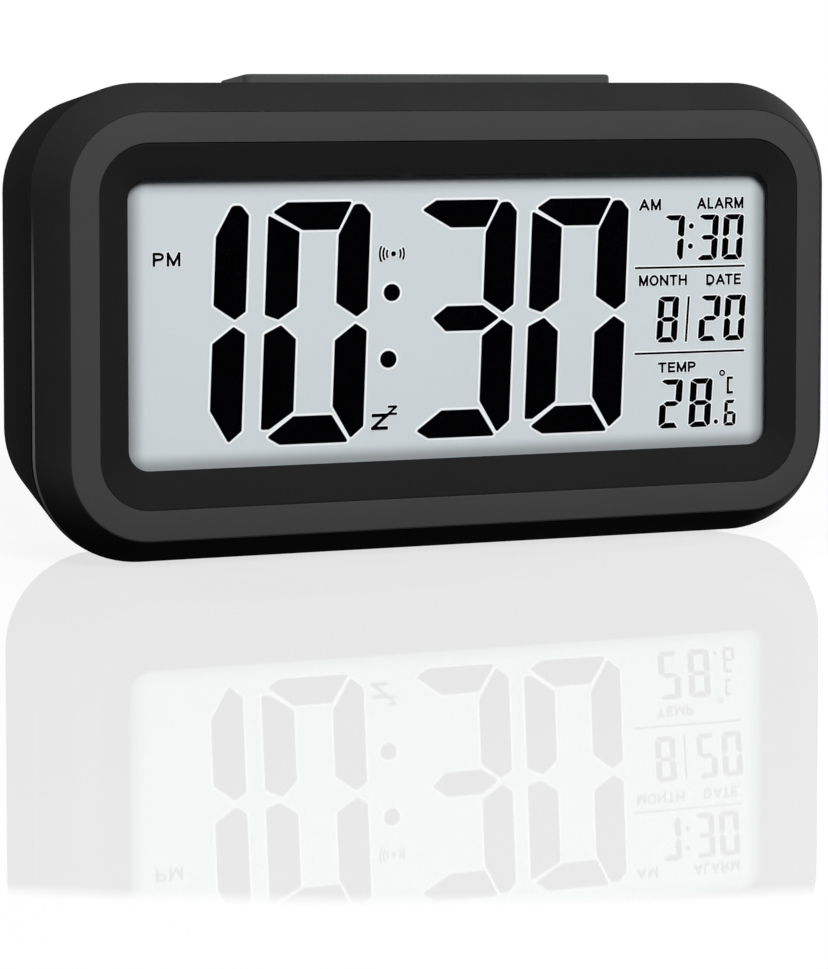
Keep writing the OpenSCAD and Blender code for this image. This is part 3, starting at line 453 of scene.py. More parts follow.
def panelMaterial():
    material, tree, shader = newMaterial("displayGlass")
    axes = addNode(tree, "ShaderNodeSeparateXYZ", {0: objectCoords(tree)}).outputs
    sides = (("left", "X", openX - openHalfW, 1), ("right", "X", openX + openHalfW, -1),
             ("bottom", "Z", openZ - openHalfH, 1), ("top", "Z", openZ + openHalfH, -1))
    steps = []
    for side, axis, edge, inward in sides:
        width, least = panelShade[side]
        steps.append((axes[axis], (edge, edge + inward * width), (least, 1)))
    cloud = mapped(tree, noise(tree, panelShade["cloudScale"]), (0, 1), panelShade["cloud"])
    # the painted shade at the window's edges, times a faint random cloud
    shade = calc(tree, "MULTIPLY", smoothMask(tree, *steps), cloud)
    setInputs(tree, shader, {
        "Base Color": tinted(tree, srgb(*panelShade["center"])[:3], shade),
        "Roughness": panelShade["roughness"],
        "Specular IOR Level": panelShade["sheen"],
    })
    return material


boardGreen = boardMaterial()
windowClear = windowMaterial()
displayGlass = panelMaterial()
print("materials made")

# a finish with a painted line along its parting edge, at the two sides: a painted highlight on the front case,
# a painted shadow on the cover; masks of how near a point is to the seam, to a side and to the floor are
# multiplied
seamPaintedLight = {
    "sides": (halfWidth - 9, halfWidth - 4),
    "fade": (36.0, 58.0),
    # rim: a painted highlight on the front case's edge at the seam
    "rim": ((seamY - 0.74, seamY - 0.62), (0, 1)),
    "rimColor": (134, 134, 136),
    # groove: a painted shadow on the cover beside the seam
    "groove": ((seamY + 0.8, seamY + 1.0), (1, 0)),
    "grooveColor": (15, 15, 16),
}


def paintSeamLight(base, line):
    material = base.copy()
    tree = material.node_tree
    shader = tree.nodes["Principled BSDF"]
    axes = addNode(tree, "ShaderNodeSeparateXYZ", {0: objectCoords(tree)}).outputs
    mask = smoothMask(tree, (axes["Y"], *seamPaintedLight[line]),
                      (calc(tree, "ABSOLUTE", axes["X"]), seamPaintedLight["sides"], (0, 1)),
                      (axes["Z"], seamPaintedLight["fade"], (1, 0)))
    plain = shader.inputs["Base Color"].links[0].from_socket
    setInputs(tree, shader, {"Base Color": mixColor(tree, mask, plain, srgb(*seamPaintedLight[line + "Color"]))})
    return material


# Front: three closed sections carried round the case
frontShape = {
    "land": 0.08,
    "landRound": 0.03,
    "bevelRound": 0.05,
    "innerRound": 0.3,
    "plateInset": (11.4, 12.9, 5.2),
    "plateLevels": (5.78, 4.6),
    "seatGap": 0.03,
    "ringWidth": 4.4,
    "ringCrown": 0.5,
    "ringDrop": 0.25,
    "ringRounds": (0.06, 0.08),
    "bezelReach": 0.08,
    "bezelSink": 0.1,
    "bezelLand": 0.3,
    "bezelLip": 0.4,
    "bezelRounds": (0.05, 0.16, 0.12),
}


def makeFrontCase():
    bevel = caseShape["bevel"]
    depth = caseShape["frontDepth"]
    small = caseShape["edgeRound"]
    land = bevel + frontShape["land"]
    seat, back = frontShape["plateLevels"]
    inner = caseWall + bevel * back / depth
    plate = frontShape["plateInset"]
    section = rounded([(0, 0), (bevel, depth), (land, depth), (land, seat), (plate[0], seat),
                       (plate[0], back), (inner, back), (caseWall, 0)],
                      [caseShape["seamRound"], frontShape["bevelRound"], frontShape["landRound"],
                       small, small, small, frontShape["innerRound"], small])
    grid = caseGrid(section, [(0, 0, caseCorner), (inner, inner, caseCorner - inner), plate])
    piece = gridsObject("front_shell", [grid], True)
    # the front shell's finish carries a painted highlight along its seam
    finished(piece, "base", "case_black", paintSeamLight(caseBlack, "rim"), "front_case")


def makeTrimRing():
    low, high = boxMm("trim_ring")
    small = caseShape["edgeRound"]
    outer = halfWidth - high[0]
    inner = outer + frontShape["ringWidth"]
    back = seamY - high[1] + frontShape["seatGap"]
    front = seamY - low[1]
    edge = front - frontShape["ringCrown"]
    section = rounded([(outer, back), (outer, edge), (inner, front), (inner, back)],
                      [small, *frontShape["ringRounds"], small])
    grid = caseGrid(section, [(outer, outer, caseCorner - outer),
                              (inner, inner + frontShape["ringDrop"], caseCorner - inner)])
    finished(gridsObject("face_ring", [grid], True), "base", "trim_grey", trimGrey, "trim_ring")


# the bezel's section slopes in to the window, whose middle is shifted by a share that grows with the inset
def makeBezel():
    low, high = boxMm("display_bezel")
    small = caseShape["edgeRound"]
    drop = frontShape["ringDrop"]
    outer = halfWidth - high[0] - frontShape["bezelReach"]
    land = outer + frontShape["bezelLand"]
    window = halfWidth - openHalfW
    back = seamY - high[1] + frontShape["seatGap"]
    front = seamY - low[1] - frontShape["bezelSink"]
    lip = back + frontShape["bezelLip"]
    section = rounded([(outer, back), (outer, front), (land, front), (window, lip), (window, back)],
                      [small, *frontShape["bezelRounds"], small])
    share = np.interp(section[:, :1], [land, window], [0, 1])
    table = [(outer, outer + drop, caseCorner - outer), (land, land + drop, caseCorner - land),
             (window, halfHeight - openHalfH, windowShape["corner"])]
    grid = caseGrid(section, table, (share * windowShape["right"], share * windowShape["up"]))
    finished(gridsObject("display_surround", [grid], True), "base", "bezel_dark", bezelDark, "display_bezel")


makeFrontCase()
makeTrimRing()
makeBezel()
print("front made")

# Snooze bar: a hollow cap with a flange under the slot in the case
snoozeShape = {
    "half": (31.6, 8.05),
    "center": 14.25,
    "corner": 1.5,
    "leastCorner": 0.3,
    "proud": 1.85,
    "flangeLap": 1.3,
    "flangeLevels": (-3.7, -2.5),
    "wall": 1.6,
    "pocketTop": -0.2,
    "pocketReach": 5.0,
    "ridge": 1.0,
    "rounds": (0.3, 0.05, 0.15, 0.15, 0.05, 0.5),
    "arcPoints": 8,
}


# a section from inside the pocket, under the flange and over the top, set in from the bar's outline
def makeSnoozeBar():
    halfW, halfH = snoozeShape["half"]
    low, high = snoozeShape["flangeLevels"]
    lap = snoozeShape["flangeLap"]
    wall = snoozeShape["wall"]
    pocket = snoozeShape["pocketTop"]
    proud = snoozeShape["proud"]
    section = rounded([(wall + snoozeShape["pocketReach"], pocket), (wall, pocket), (wall, low), (-lap, low),
                       (-lap, high), (0, high), (0, proud), (halfH - snoozeShape["ridge"], proud)],
                      snoozeShape["rounds"], closed=False)
    inset, level = section.T
    radius = np.maximum(snoozeShape["corner"] - inset, snoozeShape["leastCorner"])
    rows = np.stack([halfW - inset, halfH - inset, radius, level], -1)
    grid = ringGrid(rows, topAxes, (0, snoozeShape["center"]), snoozeShape["arcPoints"])
    finished(gridsObject("snooze_cap", [grid]), "snooze", "snooze_grey", snoozeGrey, "snooze_bar")


makeSnoozeBar()
print("snooze bar made")

# Rear cover: a drafted shell with its bosses added and its openings cut, each opening with a rounded mouth
coverShape = {
    "sideDraft": 2.06,
    "backCorner": 15.6,
    "backRound": 2.4,
    "lipRound": 0.05,
    "innerRound": 0.5,
    "capInset": 12.0,
    "gap": 0.3,
    "mouth": 0.3,
    "over": 3.0,
    "through": 1.0,
    "barThrough": 2.0,
    "keyX": (-36.0, -18.0, 0.0, 18.0),
    "keyHeight": 59.7,
    "keyRadius": 3.9,
    "sliderSlot": (40.0, 3.6, 1.6, 0.4),
    "bay": (25.6, 17.0, 28.5, 13.65),
    "bayWall": 3.4,
    "bayFloor": 1.6,
    "bayCorner": 1.0,
    "bossSink": 1.0,
    "doorOpening": (27.3, 18.7, 2.5, 0.7, 0.2),
    "hinge": (20.8, 11.3, 0.75),
    "pinEnd": 1.5,
    "screwAt": (59.4, 16.5),
    "screwWell": (2.4, 2.6, 1.3, 5.5),
    "sleeve": (3.4, 4.4),
    "soundX": -45.85,
    "soundHole": (0.8, 0.15),
    "soundRings": ((1, 0.0, 0.0), (6, 3.0, 0.0), (12, 6.0, 0.5)),
    "ventX": 45.85,
    "vent": (0.7, 6.0, 0.2),
    "ventRow": (5, 3.2),
    "footX": 46.0,
    "footY": (-4.5, 14.0),
    "footCup": (5.1, 0.4, 5.0, 0.25),
    "footCore": 1.0,
    "footRecess": (4.1, 1.2, 1.0),
    "footArc": 10,
}


# places of the screws in the back on one side
def screwPlaces(side):
    x, rise = coverShape["screwAt"]
    return [(side * x, midZ - rise), (side * x, midZ + rise)]


# places of the feet under the case on one side
def footPlaces(side):
    return [(side * coverShape["footX"], -y) for y in coverShape["footY"]]


# an opening as a solid to cut with: straight below, then a quarter circle outwards to the surface,
# then straight on
def opening(half, radius, depth, axes, centre, mouth=coverShape["mouth"], arcPoints=8):
    angle = np.linspace(0, math.pi / 2, 5)
    grow = np.concatenate([[0], mouth * (1 - np.cos(angle)), [mouth]])
    level = np.concatenate([[-depth], mouth * (np.sin(angle) - 1), [coverShape["over"]]])
    rows = np.stack([half[0] + grow, half[1] + grow, radius + grow, level], -1)
    return ringGrid(rows, axes, centre, arcPoints)


# an open section from the middle of the back, round the outside to the seam and back along the inside
def coverShell():
    draft = coverShape["sideDraft"]
    topDraft = caseShape["draft"]
    bevel = caseShape["backBevel"]
    cap = coverShape["capInset"]
    innerDepth = rearDepth - caseWall
    innerDraft = caseWall + draft * innerDepth / (rearDepth - bevel)
    section = rounded([(cap, -rearDepth), (draft + bevel, -rearDepth), (draft, bevel - rearDepth), (0, 0),
                       (caseWall, 0), (innerDraft, -innerDepth), (cap, -innerDepth)],
                      [coverShape["backRound"], coverShape["backRound"], caseShape["seamRound"],
                       coverShape["lipRound"], coverShape["innerRound"]], closed=False)
    corner = coverShape["backCorner"]
    grid = caseGrid(section, [(0, 0, caseCorner), (draft, topDraft, corner),
                              (cap, cap + topDraft - draft, corner + draft - cap)])
    return gridsObject("rear_shell", [grid])


# a box round the battery bay, a sleeve round each screw well and a cup over each foot
def coverBosses():
    bayW, bayH, bayZ, bayDepth = coverShape["bay"]
    halfW = bayW + coverShape["bayWall"]
    halfH = bayH + coverShape["bayWall"]
    corner = coverShape["bayCorner"]
    top = -coverShape["bossSink"]
    floor = -bayDepth - coverShape["bayFloor"]
    rows = [(halfW, halfH, corner, floor), (halfW, halfH, corner, top)]
    grids = [ringGrid(rows, backAxes, (0, bayZ), arcPoints=4)]
    radius, depth = coverShape["sleeve"]
    cup, foot, reach, edge = coverShape["footCup"]
    section = rounded([(cup, -reach), (cup, -foot), (coverShape["footCore"], -foot)], [edge], closed=False)
    for side in (-1, 1):
        grids += [shaft(radius, -depth, top, backAxes, at) for at in screwPlaces(side)]
        grids += [turned(section, underAxes, at, coverShape["footArc"]) for at in footPlaces(side)]
    return gridsObject("cover_bosses", grids)


# the bar's slot, the key holes, the slider's slot, the bay with its door, the screw wells, the foot recesses,
# rings of sound holes and a row of vents
def coverCutters():
    gap = coverShape["gap"]
    keyHeight = coverShape["keyHeight"]
    through = caseWall + coverShape["through"]
    halfW, halfH = snoozeShape["half"]
    grids = [opening((halfW + gap, halfH + gap), snoozeShape["corner"] + gap,
                     caseWall + coverShape["barThrough"], topAxes, (0, snoozeShape["center"]))]
    hole = coverShape["keyRadius"] + gap
    for x in coverShape["keyX"]:
        grids.append(opening((hole, hole), hole, through, backAxes, (-x, keyHeight), arcPoints=12))
    slotX, slotW, slotH, slotCorner = coverShape["sliderSlot"]
    grids.append(opening((slotW, slotH), slotCorner, through, backAxes, (-slotX, keyHeight)))
    bayW, bayH, bayZ, bayDepth = coverShape["bay"]
    openW, openH, openDepth, openCorner, mouth = coverShape["doorOpening"]
    grids.append(opening((openW, openH), openCorner, openDepth, backAxes, (0, bayZ), mouth))
    corner = coverShape["bayCorner"]
    rows = [(bayW, bayH, corner, -bayDepth), (bayW, bayH, corner, coverShape["through"])]
    grids.append(ringGrid(rows, backAxes, (0, bayZ), arcPoints=6))
    hingeY, hingeZ, pin = coverShape["hinge"]
    pinReach = openW + coverShape["pinEnd"]
    grids.append(shaft(pin, -pinReach, pinReach, sideAxes, (hingeY, hingeZ)))
    well, wellDepth, screw, screwDepth = coverShape["screwWell"]
    recess, recessTop, recessOver = coverShape["footRecess"]
    for side in (-1, 1):
        for at in screwPlaces(side):
            grids.append(opening((well, well), well, wellDepth, backAxes, at))
            grids.append(shaft(screw, -screwDepth, 0, backAxes, at))
        for at in footPlaces(side):
            grids.append(shaft(recess, -recessTop, recessOver, underAxes, at, coverShape["footArc"]))
    sound, mouth = coverShape["soundHole"]
    for count, radius, turn in coverShape["soundRings"]:
        angle = (np.arange(count) + turn) * 2 * math.pi / count
        for x, z in zip(radius * np.cos(angle), radius * np.sin(angle)):
            at = (-coverShape["soundX"] - x, midZ + z)
            grids.append(opening((sound, sound), sound, through, backAxes, at, mouth, arcPoints=5))
    ventW, ventH, mouth = coverShape["vent"]
    count, pitch = coverShape["ventRow"]
    for step in np.arange(count) - (count - 1) / 2:
        at = (-coverShape["ventX"] - step * pitch, midZ)
        grids.append(opening((ventW, ventH), ventW - hair, through, backAxes, at, mouth, arcPoints=5))
    return gridsObject("cover_cutters", grids)


def makeCover():
    piece = coverShell()
    combine(piece, coverBosses(), "UNION")
    combine(piece, coverCutters(), "DIFFERENCE")
    tidyMesh(piece.data)
    # the rear shell's finish carries a painted shadow beside its seam
    finished(piece, "base", "case_black", paintSeamLight(coverBlack, "groove"), "rear_cover")


makeCover()
print("rear cover made")

# Keys: turned shapes with a dished face, a flange behind the cover and a stem to the switch
keyShape = {
    "names": ("time", "alarm", "up", "down"),
    "proud": 0.5,
    "flange": (5.0, -2.5, -3.5),
    "stem": (1.6, -5.05),
    "rim": 0.7,
    "dish": (1.4, 0.22),
    "cores": (0.3, 0.2),
    "rounds": (0.2, 0.1, 0.15, 0.15, 0.1, 0.3, 0.3, 0.8),
    "arcPoints": 14,
}


def makeKeys():
    radius = coverShape["keyRadius"]
    flange, front, back = keyShape["flange"]
    stem, end = keyShape["stem"]
    proud = keyShape["proud"]
    dish, sink = keyShape["dish"]
    endCore, faceCore = keyShape["cores"]
    section = rounded([(endCore, end), (stem, end), (stem, back), (flange, back), (flange, front),
                       (radius, front), (radius, proud), (radius - keyShape["rim"], proud),
                       (dish, proud - sink), (faceCore, proud - sink)], keyShape["rounds"], closed=False)
    for name, x in zip(keyShape["names"], coverShape["keyX"]):
        grid = turned(section, backAxes, (-x, coverShape["keyHeight"]), keyShape["arcPoints"])
        finished(gridsObject(name + "_cap", [grid]), name + "_button", "key_black", keyBlack, name + "_key")


# Slider: a ridged thumb piece on a plate that covers its slot from inside, each a stack of rounded rectangles
sliderShape = {
    "restX": 38.5,
    "half": (1.8, 1.3),
    "corners": (0.35, 0.3),
    "edge": 0.08,
    "plate": (6.0, 2.6, 0.4, -2.5, -3.5),
    "post": (1.0, 0.2, -5.2),
    "proud": 0.3,
    "floor": 0.08,
    "ridges": (-1.2, -0.4, 0.4, 1.2),
    "ridgeHalf": 0.2,
    "ridgeInset": 0.1,
    "ridgeSink": 0.2,
    "ridgeCorners": (0.1, 0.08),
    "ridgeTaper": 0.06,
}


def makeSlider():
    halfW, halfH = sliderShape["half"]
    corner, topCorner = sliderShape["corners"]
    edge = sliderShape["edge"]
    plateW, plateH, plateCorner, front, back = sliderShape["plate"]
    post, postCorner, end = sliderShape["post"]
    rest = -sliderShape["restX"]
    floor = sliderShape["floor"]
    rows = [(post, post, postCorner, end), (post, post, postCorner, back),
            (plateW, plateH, plateCorner, back), (plateW, plateH, plateCorner, front),
            (halfW, halfH, corner, front), (halfW, halfH, corner, floor - edge),
            (halfW - edge, halfH - edge, topCorner, floor)]
    grids = [ringGrid(rows, backAxes, (rest, coverShape["keyHeight"]), arcPoints=5)]
    width = sliderShape["ridgeHalf"]
    reach = halfH - sliderShape["ridgeInset"]
    taper = sliderShape["ridgeTaper"]
    corner, topCorner = sliderShape["ridgeCorners"]
    top = sliderShape["proud"]
    ridge = [(width, reach, corner, floor - sliderShape["ridgeSink"]), (width, reach, corner, top - corner),
             (width - taper, reach - taper, topCorner, top)]
    for shift in sliderShape["ridges"]:
        grids.append(ringGrid(ridge, backAxes, (rest + shift, coverShape["keyHeight"]), arcPoints=4))
    finished(gridsObject("slider_thumb", grids), "slider", "slider_grey", sliderGrey, "alarm_slider")


makeKeys()
makeSlider()
print("keys and slider made")

# Battery door: a section across the hinge carried along it, which shrinks by a quarter circle at each end
doorShape = {
    "half": 27.0,
    "rim": 0.35,
    "topRound": 0.5,
    "innerRound": 0.2,
    "pin": 0.7,
    "scoop": (5.0, 0.85, 1.67),
    "scoopSlope": 1.3,
    "scoopCore": 0.3,
    "scoopOver": (0.3, 2.0),
    "scoopRounds": (1.2, 0.4),
    "grooves": ((33.4, 7.0), (31.9, 5.6), (30.4, 4.2)),
    "groove": (0.35, 0.4, 0.12),
    "panels": (-13.0, 13.0),
    "panel": (11.6, 13.0, 0.9, 0.4, 0.15),
}


def doorSection(shrink):
    low, high = boxMm("battery_door")
    left, right = low[1] + shrink, high[1] - shrink
    bottom, top = low[2] + shrink, high[2] - shrink
    barrel = (right - left) / 2 - hair
    return rounded([(left, bottom), (left, top), (right, top), (right, bottom)],
                   [barrel, doorShape["innerRound"], doorShape["topRound"] - shrink / 2, barrel], steps=8)


# a turned scoop for a fingertip with grooves under it, and two shallow panels inside
def doorCutters(low, high):
    radius, depth, drop = doorShape["scoop"]
    wider, over = doorShape["scoopOver"]
    section = rounded([(doorShape["scoopCore"], -depth), (radius - doorShape["scoopSlope"], -depth),
                       (radius, 0), (radius + wider, over)],
                      doorShape["scoopRounds"], steps=6, closed=False)
    grids = [turned(section, backAxes, (0, high[2] - drop), arcPoints=12)]
    half, sink, mouth = doorShape["groove"]
    for z, reach in doorShape["grooves"]:
        grids.append(opening((reach, half), half - hair, sink, backAxes, (0, z), mouth, arcPoints=6))
    innerAxes = (np.array([0, low[1], (low[2] + high[2]) / 2]), xAxis, zAxis, -yAxis)
    panelW, panelH, corner, sink, mouth = doorShape["panel"]
    for x in doorShape["panels"]:
        grids.append(opening((panelW, panelH), corner, sink, innerAxes, (x, 0), mouth, arcPoints=5))
    return gridsObject("door_cutters", grids)


def makeDoor():
    low, high = boxMm("battery_door")
    angle = np.linspace(0, math.pi / 2, 5)
    shrink = doorShape["rim"] * (1 - np.sin(angle))
    along = doorShape["half"] - doorShape["rim"] * (1 - np.cos(angle))
    sections = np.array([doorSection(step) for step in shrink])
    sections = np.concatenate([sections, sections[::-1]])
    along = np.concatenate([along, -along[::-1]])
    grid = np.concatenate([np.broadcast_to(along[:, None, None], sections.shape[:2] + (1,)), sections], -1)
    piece = gridsObject("door_panel", [grid])
    pins = shaft(doorShape["pin"], low[0], high[0], sideAxes, coverShape["hinge"][:2])
    combine(piece, gridsObject("door_pins", [pins]), "UNION")
    combine(piece, doorCutters(low, high), "DIFFERENCE")
    tidyMesh(piece.data)
    finished(piece, "door", "case_black", coverBlack, "battery_door")


makeDoor()
print("battery door made")

# Feet: turned pads with a rounded lower edge
footShape = {
    "radius": 4.0,
    "thick": 1.2,
    "core": 0.5,
    "rounds": (0.1, 0.45),
}


def makeFeet():
    radius = footShape["radius"]
    core = footShape["core"]
    top = -footShape["thick"]
    section = rounded([(core, top), (radius, top), (radius, 0), (core, 0)], footShape["rounds"], closed=False)
    grids = [turned(section, underAxes, at, arcPoints=12) for side in (-1, 1) for at in footPlaces(side)]
    finished(gridsObject("foot_pads", grids), "base", "foot_rubber", footRubber, "rubber_feet")


# Cells: turned along X from the flat end to the nub, with a step round each end plate
cellShape = {
    "names": (("battery_top", 1, 39.7), ("battery_middle", -1, 28.5), ("battery_bottom", 1, 17.3)),
    "y": 13.95,
    "radius": 5.15,
    "reach": 25.1,
    "length": 44.5,
    "nub": (1.9, 0.9),
    "core": 0.5,
    "plate": (4.3, 0.2),
    "tailStep": 0.1,
    "topStep": 0.3,
    "rounds": (0.1, 0.1, 0.3, 0.4, 0.1, 0.1, 0.1, 0.1, 0.3),
    "bandFrom": 18.0,
    "bareWithin": 4.35,
    "arcPoints": 14,
}


def cellSection():
    radius = cellShape["radius"]
    nub, nubLong = cellShape["nub"]
    plate, slope = cellShape["plate"]
    core = cellShape["core"]
    step = cellShape["topStep"]
    tip = cellShape["reach"]
    shoulder = tip - nubLong
    tail = tip - cellShape["length"]
    sunk = tail + cellShape["tailStep"]
    section = rounded([(core, sunk), (plate, sunk), (plate + slope, tail), (radius, tail), (radius, shoulder),
                       (plate, shoulder), (plate - slope, shoulder - step), (nub + step, shoulder - step),
                       (nub, shoulder), (nub, tip), (core, tip)], cellShape["rounds"], closed=False)
    wallStart = np.argmax(np.diff(section[:, 1]))
    return np.insert(section, wallStart + 1, (radius, cellShape["bandFrom"]), axis=0)


# a face takes its finish from its middle: bare metal near the axis, the band towards the nub, else the jacket
def makeCells():
    section = cellSection()
    for name, side, z in cellShape["names"]:
        axes = (np.zeros(3), -side * yAxis, zAxis, -side * xAxis)
        grid = turned(section, axes, (-side * cellShape["y"], z), cellShape["arcPoints"])
        piece = finished(gridsObject(name + "_cell", [grid]), "base", "cell_jacket", cellJacket, name)
        piece.data.materials.append(cellBand)
        piece.data.materials.append(contactNickel)
        middles = np.empty(len(piece.data.polygons) * 3)
        piece.data.polygons.foreach_get("center", middles)
        along, across, height = (middles.reshape(-1, 3) / mm).T
        away = np.hypot(across - cellShape["y"], height - z)
        banded = np.where(-side * along > cellShape["bandFrom"], 1, 0)
        index = np.where(away < cellShape["bareWithin"], 2, banded)
        piece.data.polygons.foreach_set("material_index", index.astype(np.int32))


# Coil springs
wireShape = {
    "stepsPerTurn": 28,
    "around": 10,
    "creaseDegrees": 60,
}
cellCoil = {
    "radius": 2.6,
    "wire": 0.25,
    "turns": 4.0,
    "levels": (-24.8, -19.75),
}
snoozeCoil = {
    "radius": 2.2,
    "wire": 0.22,
    "turns": 5.0,
    "levels": (-6.3, -0.5),
    "x": 22.0,
    "seat": -6.6,
    "travel": 1.2,
}


# a wire along a helix: the ring at each step is set out on the helix's own outward and lengthwise directions
def coilGrid(shape, axes):
    origin, right, up, out = axes
    start, end = shape["levels"]
    share = np.linspace(0, 1, int(wireShape["stepsPerTurn"] * shape["turns"]))[:, None]
    angle = 2 * math.pi * shape["turns"] * share
    outward = np.cos(angle) * right + np.sin(angle) * up
    centre = origin + shape["radius"] * outward + (start + (end - start) * share) * out
    ring = np.linspace(0, 2 * math.pi, wireShape["around"], endpoint=False)[None, :, None]
    return centre[:, None] + shape["wire"] * (np.cos(ring) * outward[:, None] + np.sin(ring) * out)


def makeCellCoils():
    grids = [coilGrid(cellCoil, (np.array([0, cellShape["y"], z]), yAxis, zAxis, -side * xAxis))
             for _, side, z in cellShape["names"]]
    piece = gridsObject("cell_coils", grids, creaseDegrees=wireShape["creaseDegrees"])
    finished(piece, "base", "contact_nickel", contactNickel, "contact_springs")


# the bar's two springs, one each side of its middle, in a mesh of their own
def makeSnoozeCoils():
    origin, right, up, out = topAxes
    middle = origin + snoozeShape["center"] * up
    across = snoozeCoil["x"] * right
    grids = [coilGrid(snoozeCoil, (middle + side * across, right, up, out)) for side in (-1, 1)]
    piece = gridsObject("snooze_coils", grids, creaseDegrees=wireShape["creaseDegrees"])
    finished(piece, "base", "spring_steel", springSteel, "snooze_springs")
    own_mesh(piece)


makeFeet()
makeCells()
makeCellCoils()
makeSnoozeCoils()
print("feet and cells made")

# Marks of the display, in mm from the middle of the case; a word or sign is stretched to its measured box
printShape = {
    "levels": (4.3, 4.4),
    "haloLevels": (4.3, 4.32),
    "haloStep": 0.0005,
    "haloRound": 0.9,
    "timeHalo": 0.36,
    "smallHalo": 0.2,
    "wordHalo": 0.12,
    "words": (
        ("PM", -49.35, -44.95, 9.05, 11.2, 0.2),
        ("Z", -14.0, -11.08, -17.66, -15.06, 0.27),
        ("Z", -11.25, -9.6, -15.35, -13.83, 0.19),
        ("AM", 32.1, 35.95, 16.52, 18.38, 0.19),
        ("ALARM", 42.42, 50.8, 16.64, 18.54, 0.185),
        ("MONTH", 32.08, 40.66, 4.12, 5.92, 0.185),
        ("DATE", 44.13, 50.4, 4.06, 5.88, 0.185),
        ("TEMP", 35.55, 42.32, -10.2, -8.47, 0.19),
    ),
    "alarmSign": (-10.22, 10.3, 0.42, 0.17),
    "alarmArcs": ((-1.14, 0.5), (-1.73, 0.85), (-2.3, 1.12), (1.2, 0.54), (1.76, 0.8)),
    "alarmBend": 1.22,
    "degree": (47.1, -10.55, 0.39, 0.15),
    "celsius": (48.15, 48.85, -13.84, -11.42, 0.22),
    "rules": ((31.35, 51.1, 7.13), (31.35, 51.1, -6.93)),
    "ruleHalf": 0.17,
    "ruleRound": 0.05,
    "dateBar": (40.5, 41.0, -5.2, 2.3, 0.19),
    "smallShift": (0.1, 0.22),
}
digitShape = {
    "bars": ("abcdef", "bc", "abdeg", "abcdg", "bcfg", "acdfg", "acdefg", "abc", "abcdefg", "abcdfg"),
    "round": 0.05,
    "tipRound": 0.17,
    "timeSize": (16.85, 38.05, 5.22, 4.4),
    "timeLean": 2.2,
    "timeY": -19.35,
    "time": ((1, -51.45), (0, -31.5), (3, -6.8), (0, 12.72)),
    "colon": ((-10.5, 4.15), (-11.1, -6.45)),
    "colonRadius": 1.36,
    "smallLean": 3.5,
    "smallDots": (((41.4, 13.85), 0.45), ((41.25, 10.55), 0.45), ((46.0, -18.6), 0.37)),
    "small": (
        ((3.65, 7.5, 1.1, 0.86), ((7, 36.33, 7.97), (3, 42.45, 7.97), (0, 46.97, 7.97))),
        ((3.68, 7.55, 1.1, 0.86), ((8, 35.3, -5.42), (2, 42.8, -5.42), (0, 47.35, -5.42))),
        ((3.95, 8.05, 1.16, 0.9), ((2, 35.75, -19.6), (8, 41.1, -19.6))),
        ((2.15, 4.3, 0.62, 0.56), ((6, 47.38, -19.6),)),
    ),
}


# an arc of an ellipse as a list of points
def bow(x, y, across, up, start, end, steps=12):
    angle = np.radians(np.linspace(start, end, steps))
    return np.stack([x + across * np.cos(angle), y + up * np.sin(angle)], -1).tolist()


# plain capitals: width for a height of 1, then strokes whose points run from 0 to 1 across and up
letters = {
    "A": (0.86, [[(0, 0), (0.5, 0.97)], [(0.5, 0.97), (1, 0)], [(0.2, 0.3), (0.8, 0.3)]]),
    "D": (0.76, [[(0.4, 0), (0, 0), (0, 1), *bow(0.4, 0.5, 0.6, 0.5, 90, -90)]]),
    "E": (0.6, [[(1, 1), (0, 1), (0, 0), (1, 0)], [(0.1, 0.52), (0.9, 0.52)]]),
    "F": (0.56, [[(1, 1), (0, 1), (0, 0)], [(0.1, 0.52), (0.85, 0.52)]]),
    "H": (0.76, [[(0, 0), (0, 1)], [(1, 0), (1, 1)], [(0, 0.52), (1, 0.52)]]),
    "I": (0.05, [[(0.5, 0), (0.5, 1)]]),
    "L": (0.5, [[(0, 1), (0, 0), (0.9, 0)]]),
    "M": (0.86, [[(0, 0), (0, 1)], [(0, 1), (0.5, 0.05)], [(0.5, 0.05), (1, 1)], [(1, 1), (1, 0)]]),
    "N": (0.78, [[(0, 0), (0, 1)], [(0, 1), (1, 0)], [(1, 0), (1, 1)]]),
    "O": (0.86, [bow(0.5, 0.5, 0.5, 0.5, 0, 180, 16), bow(0.5, 0.5, 0.5, 0.5, 180, 360, 16)]),
    "P": (0.68, [[(0, 0), (0, 1), *bow(0.55, 0.74, 0.45, 0.26, 90, -90), (0.2, 0.48)]]),
    "R": (0.74, [[(0, 0), (0, 1), *bow(0.55, 0.75, 0.4, 0.25, 90, -90), (0.2, 0.5)], [(0.5, 0.5), (1, 0)]]),
    "T": (0.7, [[(0, 1), (1, 1)], [(0.5, 1), (0.5, 0)]]),
    "U": (0.74, [[(0, 1), *bow(0.5, 0.35, 0.5, 0.35, 180, 360), (1, 1)]]),
    "W": (1.1, [[(0, 1), (0.25, 0)], [(0.25, 0), (0.5, 0.95)], [(0.5, 0.95), (0.75, 0)],
                [(0.75, 0), (1, 1)]]),
    "Z": (0.85, [[(0.05, 1), (1, 1)], [(0.92, 0.92), (0.08, 0.08)], [(0, 0), (0.96, 0)]]),
}
letterGap = 0.4
kerning = {"AT": -0.16, "LA": -0.04}


# outline of an even stroke along a line: its ends go on by half the stroke, and each point goes out along the
# bisector of its sides' normals, by half the stroke / the cosine between the bisector and a normal, which
# counts as a half at least
def ribbon(points, half):
    line = np.array(points, float)
    step = np.diff(line, axis=0)
    step /= np.linalg.norm(step, axis=1, keepdims=True)
    line[0] -= half * step[0]
    line[-1] += half * step[-1]
    across = np.stack([-step[:, 1], step[:, 0]], -1)
    before = np.concatenate([across[:1], across])
    after = np.concatenate([across, across[-1:]])
    out = before + after
    out /= np.linalg.norm(out, axis=1, keepdims=True)
    out *= half / np.maximum((out * before).sum(1, keepdims=True), 0.5)
    return np.concatenate([line + out, (line - out)[::-1]])


